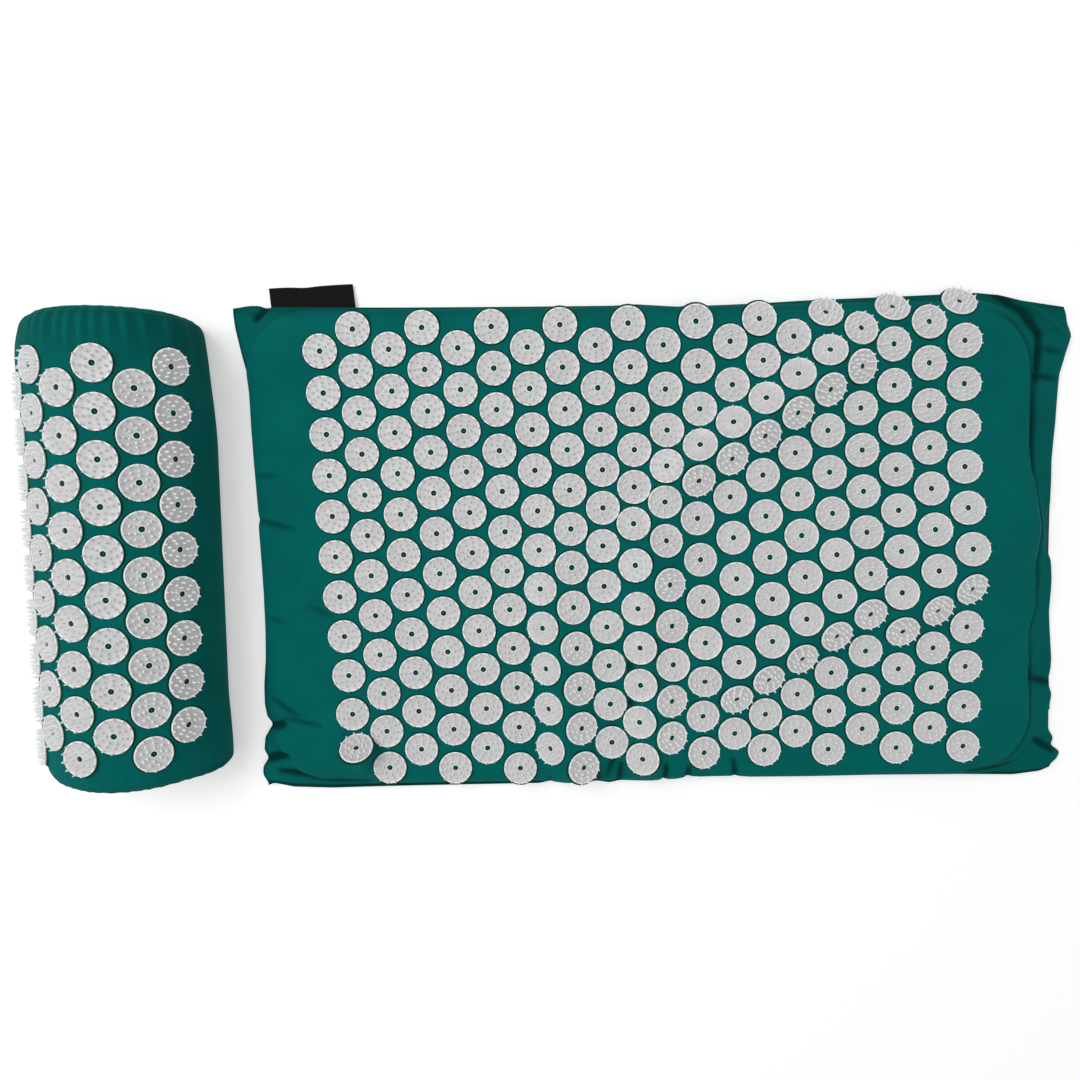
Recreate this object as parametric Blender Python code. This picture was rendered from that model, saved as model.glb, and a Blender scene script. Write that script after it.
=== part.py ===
"""Acupressure mat and its neck pillow: foam cores in sewn cotton covers, set with plastic discs.

The mat lies on the floor with its length along X and the middle of its underside at the origin.
The pillow lies beside its left end. Lengths are in metres, and +Z is up.
"""

import math

import bmesh
import bpy
import numpy as np
from mathutils import Matrix, Vector
from mathutils.bvhtree import BVHTree

SHARP_ANGLE = math.radians(35)

# Clearances and sheet goods
GAP = 0.0003
CLOTH = 0.0012
TAPE = 0.0012
LABEL_THICKNESS = 0.0008

# Mat: outline of its sewn cover, and the slab of foam inside
MAT_LENGTH = 0.680
MAT_WIDTH = 0.401
MAT_TAPER_SHARE = 0.0125
MAT_SKEW_SHARES = (0.015, 0.0115)
END_DRAW_IN = 0.008
SIDE_DRAW_IN = 0.002
SEAM_FLANGE = 0.005
SEAM_STEP = 0.003
MAT_FOAM_THICKNESS = 0.018
MAT_FOAM_END_CLEARANCE = 0.005
MAT_FOAM_SIDE_CLEARANCE = 0.002
MAT_FOAM_CORNER = 0.045
MAT_EDGE_ROUND = 0.013
MAT_EDGE_SLACK = 0.006
EDGE_FOOT_SHARE = 0.3
CORNER_STEPS = 6

# Mouth of the mat's cover, past the foam's end, closed by hook-and-loop tapes
MOUTH_DEPTH = 0.023
MOUTH_TAPE_WIDTH = 0.013
MOUTH_TAPE_INSET = 0.0015
MOUTH_DROP = 0.005
MOUTH_STEPS = 12
UNDERSIDE_STEPS = 8

# Creases pressed into the mat. Each has its start and end as shares of the mat's length and width,
# then shares of the height, of the front and back slopes, and of the slack that it takes up.
CREASE_HEIGHT = 0.013
CREASE_FRONT = 0.028
CREASE_BACK = 0.050
CREASE_SLACK = 0.010
CREASE_REACH = 0.120
CREASE_FADE_SHARE = 0.22
CREASE_SHARES = (
    ((-0.02, 0.10), (0.27, 0.44), 1.0, 1.0, 1.2, 1.0),
    ((-0.01, -0.27), (0.42, 0.00), 1.0, 1.0, 1.4, 0.15),
    ((-0.115, 0.06), (-0.110, -0.60), 0.9, 1.0, 0.9, 0.15),
    ((-0.012, -0.10), (-0.015, -0.60), 0.7, 0.9, 1.0, 0.3),
)

# Discs and the staggered field that they form on the mat
DISC_DIAMETER = 0.0276
DISC_PLATE = 0.0014
DISC_CORNERS = 6
DISC_NECK = 0.0018
STUD_WIDTH = 0.0044
STUD_DEPTH = 0.0040
STUD_HEIGHT = 0.0029
DISC_GAP = 0.0057
COLUMN_NESTING = 0.0003
FIELD_END_MARGIN = 0.052
FIELD_SIDE_MARGIN = 0.004
FIELD_SHIFT_X = -0.0054
FIELD_SHIFT_Y = 0.0054
COLUMN_LEAN_SHARE = -0.0225
ROW_CLIMB_SHARE = 0.0232
FIELD_EDGE_CLEARANCE = 0.004
SEAT_SAMPLES = 16
SEAT_RING_SHARES = (0.33, 0.67, 1.0)
FOLD_SAMPLES = 12

# Woven label sewn into the far seam
LABEL_WIDTH = 0.071
LABEL_REACH = 0.0162
LABEL_FROM_END = 0.065

# Neck pillow: place, round section on a flat base, and length
PILLOW_FROM_MAT = 0.0156
PILLOW_Y = 0.0136
PILLOW_TURN = math.radians(-1.2)
PILLOW_RADIUS = 0.0717
PILLOW_AXIS_HEIGHT = 0.026
PILLOW_WRAP_LENGTH = 0.360
PILLOW_END_CROWN = 0.0055
PILLOW_TAPER_LENGTH = 0.036
PILLOW_TAPER_SHARE = 0.10
PILLOW_SPANS = 4
PILLOW_END_RING_SHARE = 0.6
PILLOW_END_RISE_SHARE = 0.75
PILLOW_FOOT_TUCK = 0.004
PILLOW_DISC_SHIFT = -0.005
PILLOW_COLUMNS = 6
PILLOW_COLUMN_NESTING = 0.0014
PILLOW_DISC_GAP = 0.0065
PILLOW_FIELD_MARGIN = 0.040
PILLOW_STAGGER_SHARE = 0.25

# Zip along the pillow's far lower edge
ZIP_END_MARGIN = 0.020
ZIP_FOOT = 0.006
ZIP_TAPE = 0.0036
ZIP_TEETH = 0.0040
ZIP_TEETH_DEPTH = 0.0018
ZIP_STOP = 0.0030
SLIDER_LENGTH = 0.0090
SLIDER_PLATE = 0.0010
SLIDER_CHEEK = 0.0012
BRIDGE_LENGTH = 0.0052
BRIDGE_WIDTH = 0.0014
BRIDGE_HEIGHT = 0.0026
BRIDGE_WIRE = 0.0010
PULL_LENGTH = 0.0220
PULL_WIDTH = 0.0050
PULL_THICKNESS = 0.0010
PULL_WINDOW = 0.0024
PULL_EYE_BAR = 0.0010

# Sizes that follow from those above: the foam fits the cover, and the discs fill the foam
SEAM_TOP = 2 * CLOTH + 2 * TAPE + 3 * GAP
MAT_TOP = 2 * CLOTH + 2 * GAP + MAT_FOAM_THICKNESS
SEAM_UNDERSIDE = SEAM_TOP - 2 * CLOTH - GAP
PROBE_HEIGHT = 2 * (MAT_TOP + CREASE_HEIGHT)
MAT_FOAM_LEFT = MAT_LENGTH / 2 - END_DRAW_IN - SEAM_FLANGE - MAT_FOAM_END_CLEARANCE
MAT_FOAM_RIGHT = MAT_LENGTH / 2 - END_DRAW_IN - MOUTH_DEPTH
FOAM_SIDE_MARGIN = SIDE_DRAW_IN + SEAM_FLANGE + MAT_FOAM_SIDE_CLEARANCE
MAT_FOAM_WIDTH = MAT_WIDTH * (1.0 - MAT_TAPER_SHARE) - 2 * FOAM_SIDE_MARGIN
HINGE_X = MAT_FOAM_RIGHT + GAP
DISC_PITCH = DISC_DIAMETER + DISC_GAP
COLUMN_SPACING = DISC_DIAMETER - COLUMN_NESTING
FIELD_LENGTH = MAT_FOAM_LEFT + MAT_FOAM_RIGHT - 2 * FIELD_END_MARGIN
FIELD_WIDTH = MAT_FOAM_WIDTH - 2 * FIELD_SIDE_MARGIN
COLUMNS = 1 + int(FIELD_LENGTH / COLUMN_SPACING)
HALF_ROWS = 1 + int(2 * FIELD_WIDTH / DISC_PITCH)
LABEL_CENTRE = LABEL_FROM_END - MAT_LENGTH / 2
PILLOW_X = -(MAT_LENGTH / 2 + PILLOW_FROM_MAT + PILLOW_RADIUS)
PILLOW_COLUMN_SPACING = DISC_DIAMETER - PILLOW_COLUMN_NESTING
PILLOW_DISC_PITCH = DISC_DIAMETER + PILLOW_DISC_GAP
PILLOW_DISCS = 1 + int((PILLOW_WRAP_LENGTH - 2 * PILLOW_FIELD_MARGIN) / PILLOW_DISC_PITCH)
ZIP_LENGTH = PILLOW_WRAP_LENGTH - 2 * ZIP_END_MARGIN


def clear_scene():
    for obj in list(bpy.data.objects):
        bpy.data.objects.remove(obj, do_unlink=True)


def new_collection(name):
    collection = bpy.data.collections.new(name)
    bpy.context.scene.collection.children.link(collection)
    return collection


def new_material(name, colour, roughness, metallic=0.0):
    material = bpy.data.materials.new(name)
    material.use_nodes = True
    shader = material.node_tree.nodes["Principled BSDF"]
    shader.inputs["Base Color"].default_value = (*colour, 1.0)
    shader.inputs["Roughness"].default_value = roughness
    shader.inputs["Metallic"].default_value = metallic
    return material


def add_object(name, bm, colour, collection, parent=None, origin=(0.0, 0.0, 0.0)):
    """Makes an object from the mesh, with its own material and its origin at a given point."""
    bmesh.ops.recalc_face_normals(bm, faces=bm.faces[:])
    bmesh.ops.translate(bm, verts=bm.verts[:], vec=-Vector(origin))
    mesh = bpy.data.meshes.new(name)
    bm.to_mesh(mesh)
    bm.free()
    mesh.shade_smooth()
    mesh.set_sharp_from_angle(angle=SHARP_ANGLE)
    mesh.materials.append(new_material(name, *colour))
    obj = bpy.data.objects.new(name, mesh)
    obj.location = origin
    obj.parent = parent
    collection.objects.link(obj)
    return obj


def add_empty(name, location, turn, collection, parent=None):
    """Makes an empty that carries a body and stands on the axis that the body moves on."""
    empty = bpy.data.objects.new(name, None)
    empty.location = location
    empty.rotation_euler = turn
    empty.parent = parent
    collection.objects.link(empty)
    return empty


def box_mesh(size, centre=(0.0, 0.0, 0.0)):
    bm = bmesh.new()
    bmesh.ops.create_cube(bm, size=1.0)
    bmesh.ops.scale(bm, vec=size, verts=bm.verts[:])
    bmesh.ops.translate(bm, vec=centre, verts=bm.verts[:])
    return bm


def grid_sheet(columns, rows, place):
    """A sheet of quads with columns by rows corners, each put where place(column, row) says."""
    bm = bmesh.new()
    bmesh.ops.create_grid(bm, x_segments=columns - 1, y_segments=rows - 1, size=1.0)
    corners = {}
    for vert in bm.verts:
        column = round((vert.co.x + 1.0) / 2.0 * (columns - 1))
        row = round((vert.co.y + 1.0) / 2.0 * (rows - 1))
        vert.co = place(column, row)
        corners[column, row] = vert
    return bm, corners


def thicken(bm, move):
    """Turns an open sheet into a closed one. The copied side goes where move(point) says."""
    copied = bmesh.ops.extrude_face_region(bm, geom=bm.faces[:])
    for item in copied["geom"]:
        if isinstance(item, bmesh.types.BMVert):
            item.co = move(item.co)
    return bm


def split_quad(bm, first, second):
    face = next(face for face in first.link_faces if second in face.verts)
    bmesh.utils.face_split(face, first, second)


# The mat's shape


def skewed(x, y):
    """The cover is pulled a little out of square, so both pairs of its edges lean."""
    return x - MAT_SKEW_SHARES[0] * y, y - MAT_SKEW_SHARES[1] * x


def field_place(column, half_row):
    """The centre of a disc, or of the bare spot between two, on the staggered field."""
    across = COLUMN_SPACING * (column - (COLUMNS - 1) / 2)
    along = DISC_PITCH / 2 * ((HALF_ROWS - 1) / 2 - half_row)
    x = FIELD_SHIFT_X + across + COLUMN_LEAN_SHARE * along
    y = FIELD_SHIFT_Y + along + ROW_CLIMB_SHARE * across
    move_x, move_y = crease_pull(x, y)
    return x + move_x, y + move_y


def has_disc(column, half_row):
    return (column + half_row) % 2 == 1


def end_line(y):
    """How far the cover's two ends reach from the middle at this width."""
    share = 2 * y / MAT_WIDTH
    return MAT_LENGTH / 2 - END_DRAW_IN * max(0.0, 1.0 - share * share)


def side_line(x):
    """How far the cover's two long sides reach from the middle at this length."""
    share = 2 * x / MAT_LENGTH
    full = MAT_WIDTH / 2 * (1.0 - MAT_TAPER_SHARE * share)
    return full - SIDE_DRAW_IN * max(0.0, 1.0 - share * share)


def foam_depth(x, y):
    """The distance inward from the foam's rounded outline, negative outside it."""
    middle = (MAT_FOAM_RIGHT - MAT_FOAM_LEFT) / 2
    half_length = (MAT_FOAM_RIGHT + MAT_FOAM_LEFT) / 2
    past_x = abs(x - middle) - (half_length - MAT_FOAM_CORNER)
    past_y = abs(y) - (MAT_FOAM_WIDTH / 2 - MAT_FOAM_CORNER)
    outside = math.hypot(max(past_x, 0.0), max(past_y, 0.0))
    return MAT_FOAM_CORNER - outside - min(max(past_x, past_y), 0.0)


def edge_share(depth):
    """The cover's rise from its seam to its full height, over the foam's rounded edge."""
    if depth <= -MAT_EDGE_SLACK:
        return 0.0
    if depth <= 0.0:
        return EDGE_FOOT_SHARE * (1.0 + depth / MAT_EDGE_SLACK)
    inward = max(0.0, 1.0 - depth / MAT_EDGE_ROUND)
    return EDGE_FOOT_SHARE + (1.0 - EDGE_FOOT_SHARE) * math.sqrt(1.0 - inward * inward)


def smooth_step(share):
    share = min(max(share, 0.0), 1.0)
    return share * share * (3.0 - 2.0 * share)


def crease_places(x, y):
    """For each crease: its direction, the share along it, the place across it from 0 at the crest
    to 1 at the foot of its front or -1 at the foot of its back, and its shares of height and slack."""
    for start, end, height_share, front_share, back_share, slack_share in CREASE_SHARES:
        start_point = Vector((start[0] * MAT_LENGTH, start[1] * MAT_WIDTH))
        along = Vector((end[0] * MAT_LENGTH, end[1] * MAT_WIDTH)) - start_point
        from_start = Vector((x, y)) - start_point
        share = from_start.dot(along) / along.length_squared
        across = (from_start.x * along.y - from_start.y * along.x) / along.length
        reach = CREASE_FRONT * front_share if across > 0.0 else CREASE_BACK * back_share
        yield along, share, across / reach, height_share, slack_share


def crease_height(x, y):
    """The height that the pressed creases add: each has a steep front and a long back."""
    highest = 0.0
    for _, share, across, height_share, _ in crease_places(x, y):
        fade = smooth_step(share / CREASE_FADE_SHARE)
        fade *= smooth_step((1.0 - share) / CREASE_FADE_SHARE)
        profile = max(0.0, 1.0 - abs(across))
        highest = max(highest, CREASE_HEIGHT * height_share * fade * profile)
    return highest


def crease_pull(x, y):
    """Each crease takes up slack, which draws the cloth on both its sides towards it."""
    pull = Vector((0.0, 0.0))
    for along, share, across, _, slack_share in crease_places(x, y):
        beyond = max(0.0, -share, share - 1.0) * along.length
        toward_front = Vector((along.y, -along.x)).normalized()
        slack = CREASE_SLACK * slack_share * math.exp(-beyond / CREASE_REACH)
        pull -= toward_front * slack / 2 * min(max(across, -1.0), 1.0)
    return pull


def cover_top(x, y):
    share = edge_share(foam_depth(x, y))
    return SEAM_TOP + share * (MAT_TOP - SEAM_TOP + crease_height(x, y))


def mat_point(x, y, z):
    return Vector((*skewed(x, y), z))


def cover_grid_place(column, half_row):
    """A corner of the cover's upper sheet: the disc field, with margin lines round it."""
    foam_side = MAT_FOAM_WIDTH / 2
    x, y = field_place(min(max(column, 0), COLUMNS - 1), min(max(half_row, 0), HALF_ROWS - 1))
    inner = foam_side - FIELD_EDGE_CLEARANCE
    y = min(max(y, -inner), inner)
    if column < 0:
        left = end_line(y)
        x = -(MAT_FOAM_LEFT - MAT_EDGE_ROUND, MAT_FOAM_LEFT, left - SEAM_FLANGE, left)[-column - 1]
    elif column >= COLUMNS:
        x = (MAT_FOAM_RIGHT - MAT_EDGE_ROUND, HINGE_X - GAP / 2)[column - COLUMNS]
    if half_row < 0 or half_row >= HALF_ROWS:
        side = side_line(x)
        lines = (foam_side, side - SEAM_FLANGE, side)
        y = lines[-half_row - 1] if half_row < 0 else -lines[half_row - HALF_ROWS]
    return mat_point(x, y, cover_top(x, y))


def cover_sheet(left, right, side):
    """The cover's upper face between margin lines, creased along the gaps between the discs."""
    columns = COLUMNS + left + right
    rows = HALF_ROWS + 2 * side
    bm, corners = grid_sheet(
        columns, rows, lambda column, row: cover_grid_place(column - left, row - side)
    )
    for column in range(columns - 1):
        for row in range(rows - 1):
            if has_disc(column - left, row - side):
                split_quad(bm, corners[column + 1, row], corners[column, row + 1])
            else:
                split_quad(bm, corners[column, row], corners[column + 1, row + 1])
    under_discs = [
        vert
        for (column, row), vert in corners.items()
        if left <= column < left + COLUMNS
        and side < row < side + HALF_ROWS - 1
        and has_disc(column - left, row - side)
    ]
    bmesh.ops.dissolve_verts(bm, verts=under_discs)
    bmesh.ops.triangulate(bm, faces=bm.faces[:], quad_method="SHORT_EDGE")
    bmesh.ops.recalc_face_normals(bm, faces=bm.faces[:])
    return bm


def lowered(distance):
    return lambda point: Vector((point.x, point.y, point.z - distance))


def raised(distance):
    return lambda point: Vector((point.x, point.y, point.z + distance))


# The mat's pieces


def rounded_outline():
    """The foam's outline, a rectangle with round corners, just clear of the cover's fold lines."""
    half_width = MAT_FOAM_WIDTH / 2 - MAT_FOAM_CORNER
    centres = (
        (MAT_FOAM_RIGHT - MAT_FOAM_CORNER, half_width),
        (MAT_FOAM_CORNER - MAT_FOAM_LEFT, half_width),
        (MAT_FOAM_CORNER - MAT_FOAM_LEFT, -half_width),
        (MAT_FOAM_RIGHT - MAT_FOAM_CORNER, -half_width),
    )
    radius = MAT_FOAM_CORNER - GAP
    for corner, (x, y) in enumerate(centres):
        for step in range(CORNER_STEPS + 1):
            turn = math.pi / 2 * (corner + step / CORNER_STEPS)
            yield skewed(x + radius * math.cos(turn), y + radius * math.sin(turn))


def add_mat_foam(parts, cutters):
    bottom = CLOTH + GAP
    bm = cover_sheet(left=3, right=2, side=2)
    bmesh.ops.translate(bm, verts=bm.verts[:], vec=(0.0, 0.0, -CLOTH - GAP))
    upper_verts = set(bm.verts)
    thicken(bm, lambda point: Vector((point.x, point.y, bottom)))
    underside = [face for face in bm.faces if not upper_verts.intersection(face.verts)]
    bmesh.ops.dissolve_faces(bm, faces=underside)
    foam = add_object("mat_foam_core", bm, FOAM, parts)

    outline = bmesh.new()
    corners = [outline.verts.new((x, y, 0.0)) for x, y in rounded_outline()]
    outline.faces.new(corners)
    thicken(outline, raised(PROBE_HEIGHT))
    cutter = add_object("mat_foam_outline", outline, FOAM, cutters)
    cutter.hide_render = True
    cutter.display_type = "WIRE"
    trim = foam.modifiers.new("rounded_corners", "BOOLEAN")
    trim.operation = "INTERSECT"
    trim.object = cutter


def add_mat_cover_top(parts):
    bm = cover_sheet(left=4, right=2, side=3)
    seat = BVHTree.FromBMesh(bm)
    folds = [
        edge.verts[0].co.lerp(edge.verts[1].co, step / FOLD_SAMPLES)
        for edge in bm.edges
        for step in range(FOLD_SAMPLES + 1)
    ]
    thicken(bm, lowered(CLOTH))
    add_object("mat_cover_top", bm, COTTON, parts)
    return seat, np.array(folds)


def underside_lines(steps):
    """Places across the cover from -1 to 1: flange, its inner edge, the foam's edge, then even steps."""
    inner = [2.0 * step / steps - 1.0 for step in range(1, steps)]
    return ["edge", "flange", "foam", *inner, "foam", "flange", "edge"]


def underside_place(column, row, across_x, across_y):
    """A corner of the cover's lower sheet: flat on the floor, its seam edges lifted to the seam."""
    foam_side = MAT_FOAM_WIDTH / 2
    line_y = across_y[row]
    sign_y = -1.0 if row < len(across_y) / 2 else 1.0
    y = line_y * foam_side if isinstance(line_y, float) else sign_y * foam_side
    line_x = across_x[column]
    at_left = column < len(across_x) / 2
    end = end_line(y)
    if isinstance(line_x, float):
        x = (MAT_FOAM_RIGHT - MAT_FOAM_LEFT) / 2 + line_x * (MAT_FOAM_RIGHT + MAT_FOAM_LEFT) / 2
    elif at_left:
        x = -{"edge": end - SEAM_STEP, "flange": end - SEAM_FLANGE, "foam": MAT_FOAM_LEFT}[line_x]
    else:
        x = {"edge": end, "flange": HINGE_X + MOUTH_DROP, "foam": MAT_FOAM_RIGHT}[line_x]
    side = side_line(x)
    if line_y == "edge":
        y = sign_y * (side - SEAM_STEP)
    elif line_y == "flange":
        y = sign_y * (side - SEAM_FLANGE)
    in_seam = line_y in ("edge", "flange") or (at_left and line_x in ("edge", "flange"))
    return mat_point(x, y, SEAM_UNDERSIDE if in_seam else 0.0)


def add_mat_cover_bottom(parts):
    across_x = underside_lines(UNDERSIDE_STEPS)
    across_y = underside_lines(UNDERSIDE_STEPS)
    bm, _ = grid_sheet(
        len(across_x), len(across_y), lambda c, r: underside_place(c, r, across_x, across_y)
    )
    bmesh.ops.triangulate(bm, faces=bm.faces[:], quad_method="SHORT_EDGE")
    thicken(bm, raised(CLOTH))
    add_object("mat_cover_bottom", bm, COTTON, parts)


def mouth_height():
    """The height of the cover where its mouth flap begins, away from the corners."""
    return cover_top(HINGE_X, 0.0)


def add_mouth(parts):
    """The loose end of the upper sheet, which folds up from the foam's edge, and the two tapes."""
    hinge = mat_point(HINGE_X, 0.0, mouth_height())
    side = MAT_WIDTH / 2 - SEAM_FLANGE
    rows = MOUTH_STEPS + 3
    drop = (0.0, MOUTH_DROP)

    def flap_place(column, row):
        if row == 0 or row == rows - 1:
            y = -side_line(MAT_FOAM_RIGHT) if row == 0 else side_line(MAT_FOAM_RIGHT)
        else:
            y = side * (2.0 * (row - 1) / (rows - 3) - 1.0)
        x = end_line(y) if column == 2 else HINGE_X + GAP / 2 + drop[column]
        z = cover_top(HINGE_X - GAP / 2, y) if column == 0 else SEAM_TOP
        return mat_point(x, y, z)

    bm, _ = grid_sheet(3, rows, flap_place)
    bmesh.ops.triangulate(bm, faces=bm.faces[:], quad_method="SHORT_EDGE")
    thicken(bm, lowered(CLOTH))
    add_object("mat_mouth_flap", bm, COTTON, parts, origin=hinge)

    for name, colour, bottom in (
        ("mat_loop_tape", LOOP_TAPE, CLOTH + GAP),
        ("mat_hook_tape", HOOK_TAPE, CLOTH + 2 * GAP + TAPE),
    ):
        bm, _ = grid_sheet(2, MOUTH_STEPS + 1, lambda c, r: tape_place(c, r, bottom))
        bmesh.ops.triangulate(bm, faces=bm.faces[:], quad_method="SHORT_EDGE")
        thicken(bm, raised(TAPE))
        add_object(name, bm, colour, parts, origin=hinge if name == "mat_hook_tape" else (0, 0, 0))


def tape_place(column, row, bottom):
    """A corner of a mouth tape, which follows the drawn-in edge of the mouth."""
    length = MAT_FOAM_WIDTH - 2 * MAT_FOAM_CORNER
    y = length * (row / MOUTH_STEPS - 0.5)
    x = end_line(y) - MOUTH_TAPE_INSET - (MOUTH_TAPE_WIDTH if column == 0 else 0.0)
    return mat_point(x, y, bottom)


def add_label(parts):
    """A woven label, whose root lies under the upper flange and stops short of the lower one."""
    top = SEAM_TOP - CLOTH - GAP

    def label_place(column, row):
        x = LABEL_CENTRE + LABEL_WIDTH * (column - 0.5)
        return mat_point(x, side_line(x) + (LABEL_REACH if row else GAP - SEAM_STEP), top)

    bm, _ = grid_sheet(2, 2, label_place)
    thicken(bm, lowered(LABEL_THICKNESS))
    add_object("mat_label", bm, LABEL, parts)


# The discs


def seat_plane(seat, folds, x, y, radius):
    """The plane that a stiff disc takes on the cloth: its centre on top of it, and its normal."""
    hits = []
    for ring in SEAT_RING_SHARES:
        for step in range(SEAT_SAMPLES):
            turn = 2 * math.pi * step / SEAT_SAMPLES
            start = (x + radius * ring * math.cos(turn), y + radius * ring * math.sin(turn))
            point, _, _, _ = seat.ray_cast(Vector((*start, PROBE_HEIGHT)), Vector((0.0, 0.0, -1.0)))
            if point is not None:
                hits.append(point)
    middle = sum(hits, Vector()) / len(hits)
    spread = Matrix(((0.0, 0.0), (0.0, 0.0)))
    lean = Vector((0.0, 0.0))
    for hit in hits:
        flat = (hit - middle).to_2d()
        rise = hit.z - middle.z
        spread += Matrix(((flat.x * flat.x, flat.x * flat.y), (flat.y * flat.x, flat.y * flat.y)))
        lean += flat * rise
    slope = spread.inverted() @ lean
    normal = Vector((-slope.x, -slope.y, 1.0)).normalized()
    under = folds[np.hypot(folds[:, 0] - x, folds[:, 1] - y) < radius]
    lift = max((Vector(point) - middle).dot(normal) for point in (*hits, *under))
    centre_z = middle.z + slope.dot(Vector((x, y)) - middle.to_2d()) + (lift + GAP) / normal.z
    return Vector((x, y, centre_z)), normal


def disc_corners(centre, normal, along):
    """For each corner of a disc: its point on the rim, the pair beside it, and a place inside it.

    The first corner and the one across from it carry the necks, and the others carry the studs.
    """
    ahead = (along - normal * along.dot(normal)).normalized()
    aside = normal.cross(ahead)
    radius = DISC_DIAMETER / 2

    def place(turn, reach):
        return centre + ahead * reach * math.cos(turn) + aside * reach * math.sin(turn)

    corners = []
    for corner in range(DISC_CORNERS):
        turn = 2 * math.pi * corner / DISC_CORNERS
        width = STUD_WIDTH if corner % (DISC_CORNERS // 2) else DISC_NECK
        spread = math.asin(width / 2 / radius)
        pair = (place(turn - spread, radius), place(turn + spread, radius))
        corners.append((place(turn, radius), pair, place(turn, radius - STUD_DEPTH)))
    return corners


def surface_height(seat, point):
    hit, _, _, _ = seat.ray_cast(Vector((point.x, point.y, PROBE_HEIGHT)), Vector((0.0, 0.0, -1.0)))
    return point.z if hit is None else hit.z


def add_stud(bm, base, normal):
    """A pointed stud with three sides, on three corners of a disc's face."""
    middle = sum((corner.co for corner in base), Vector()) / len(base)
    tip = bm.verts.new(middle + normal * STUD_HEIGHT)
    for i in range(3):
        bm.faces.new((base[i], base[(i + 1) % 3], tip))


def disc_column_mesh(planes, along, seat=None):
    """Discs in one line, each a plate with studs on its rim, joined end to end by narrow necks."""
    bm = bmesh.new()
    half = DISC_CORNERS // 2
    last_neck = None
    for centre, normal in planes:
        low, high, face = [], [], []
        for corner, (rim, pair, inside) in enumerate(disc_corners(centre, normal, along)):
            foot = bm.verts.new(rim)
            before, after = [bm.verts.new(point + normal * DISC_PLATE) for point in pair]
            low.append(foot)
            high.append((before, after))
            if corner % half:
                inner = bm.verts.new(inside + normal * DISC_PLATE)
                add_stud(bm, (before, after, inner), normal)
                bm.faces.new((foot, after, before))
                face += [before, inner, after]
            else:
                face += [before, after]
        bm.faces.new(face)
        bm.faces.new(low[::-1])
        for i in range(DISC_CORNERS):
            j = (i + 1) % DISC_CORNERS
            bm.faces.new((low[i], low[j], high[j][0], high[i][1]))
        back = (low[half], high[half][1], high[half][0])
        if last_neck is None:
            bm.faces.new(back)
        else:
            join_necks(bm, last_neck, back, seat)
        last_neck = (low[0], high[0][0], high[0][1])
    bm.faces.new(last_neck[::-1])
    return bm


def join_necks(bm, front, back, seat):
    """A neck between two discs, bent over the cloth where a crest stands between them."""
    sections = [front]
    if seat is not None:
        middle = [(a.co + b.co) / 2 for a, b in zip(front, back)]
        lift = max(surface_height(seat, point) + 2 * GAP - point.z for point in middle)
        if lift > 0.0:
            sections.append([bm.verts.new(raised(lift)(point)) for point in middle])
    sections.append(back)
    for first, second in zip(sections, sections[1:]):
        for i in range(3):
            j = (i + 1) % 3
            bm.faces.new((first[i], first[j], second[j], second[i]))


def add_mat_discs(parts, seat, folds):
    along = Vector((0.0, 1.0, 0.0))
    for column in range(COLUMNS):
        planes = []
        for half_row in reversed(range(HALF_ROWS)):
            if has_disc(column, half_row):
                x, y = skewed(*field_place(column, half_row))
                planes.append(seat_plane(seat, folds, x, y, DISC_DIAMETER / 2))
        bm = disc_column_mesh(planes, along, seat)
        add_object(f"mat_discs_{column + 1:02d}", bm, DISC, parts)


# The pillow's shape, along its own Y


def pillow_radius(y):
    """The wrap's radius, which narrows towards the gathered ends."""
    start = PILLOW_WRAP_LENGTH / 2 - PILLOW_TAPER_LENGTH
    share = max(0.0, (abs(y) - start) / PILLOW_TAPER_LENGTH)
    return PILLOW_RADIUS * (1.0 - PILLOW_TAPER_SHARE * share * share)


def pillow_point(angle, y, inset):
    """A point on the round section, this far inside the cloth's outer face."""
    radius = (pillow_radius(y) if math.cos(angle) > 0.0 else PILLOW_RADIUS) - inset
    across = (pillow_radius(y) - inset) * math.sin(angle)
    return Vector((across, y, PILLOW_AXIS_HEIGHT + radius * math.cos(angle)))


def angle_at_height(height, radius=PILLOW_RADIUS):
    return math.acos((height - PILLOW_AXIS_HEIGHT) / radius)


def column_angle():
    return PILLOW_COLUMN_SPACING / PILLOW_RADIUS


def crown_angles():
    """The wrap's fold lines over the crown, half way between the disc columns."""
    half = PILLOW_COLUMNS // 2
    return [column_angle() * step for step in range(half, -half - 1, -1)]


def pillow_lines():
    """The places along the pillow of its section lines, close together at the zip's two ends."""
    end = PILLOW_WRAP_LENGTH / 2
    taper = end - PILLOW_TAPER_LENGTH
    inner = [taper * (2.0 * step / PILLOW_SPANS - 1.0) for step in range(PILLOW_SPANS + 1)]
    zip_end = ZIP_LENGTH / 2 + GAP
    outer = [zip_end, zip_end + GAP, (zip_end + end) / 2, end]
    return sorted([-y for y in outer] + inner + outer)


def in_zip(y):
    return abs(y) < ZIP_LENGTH / 2 + 1.5 * GAP


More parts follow.
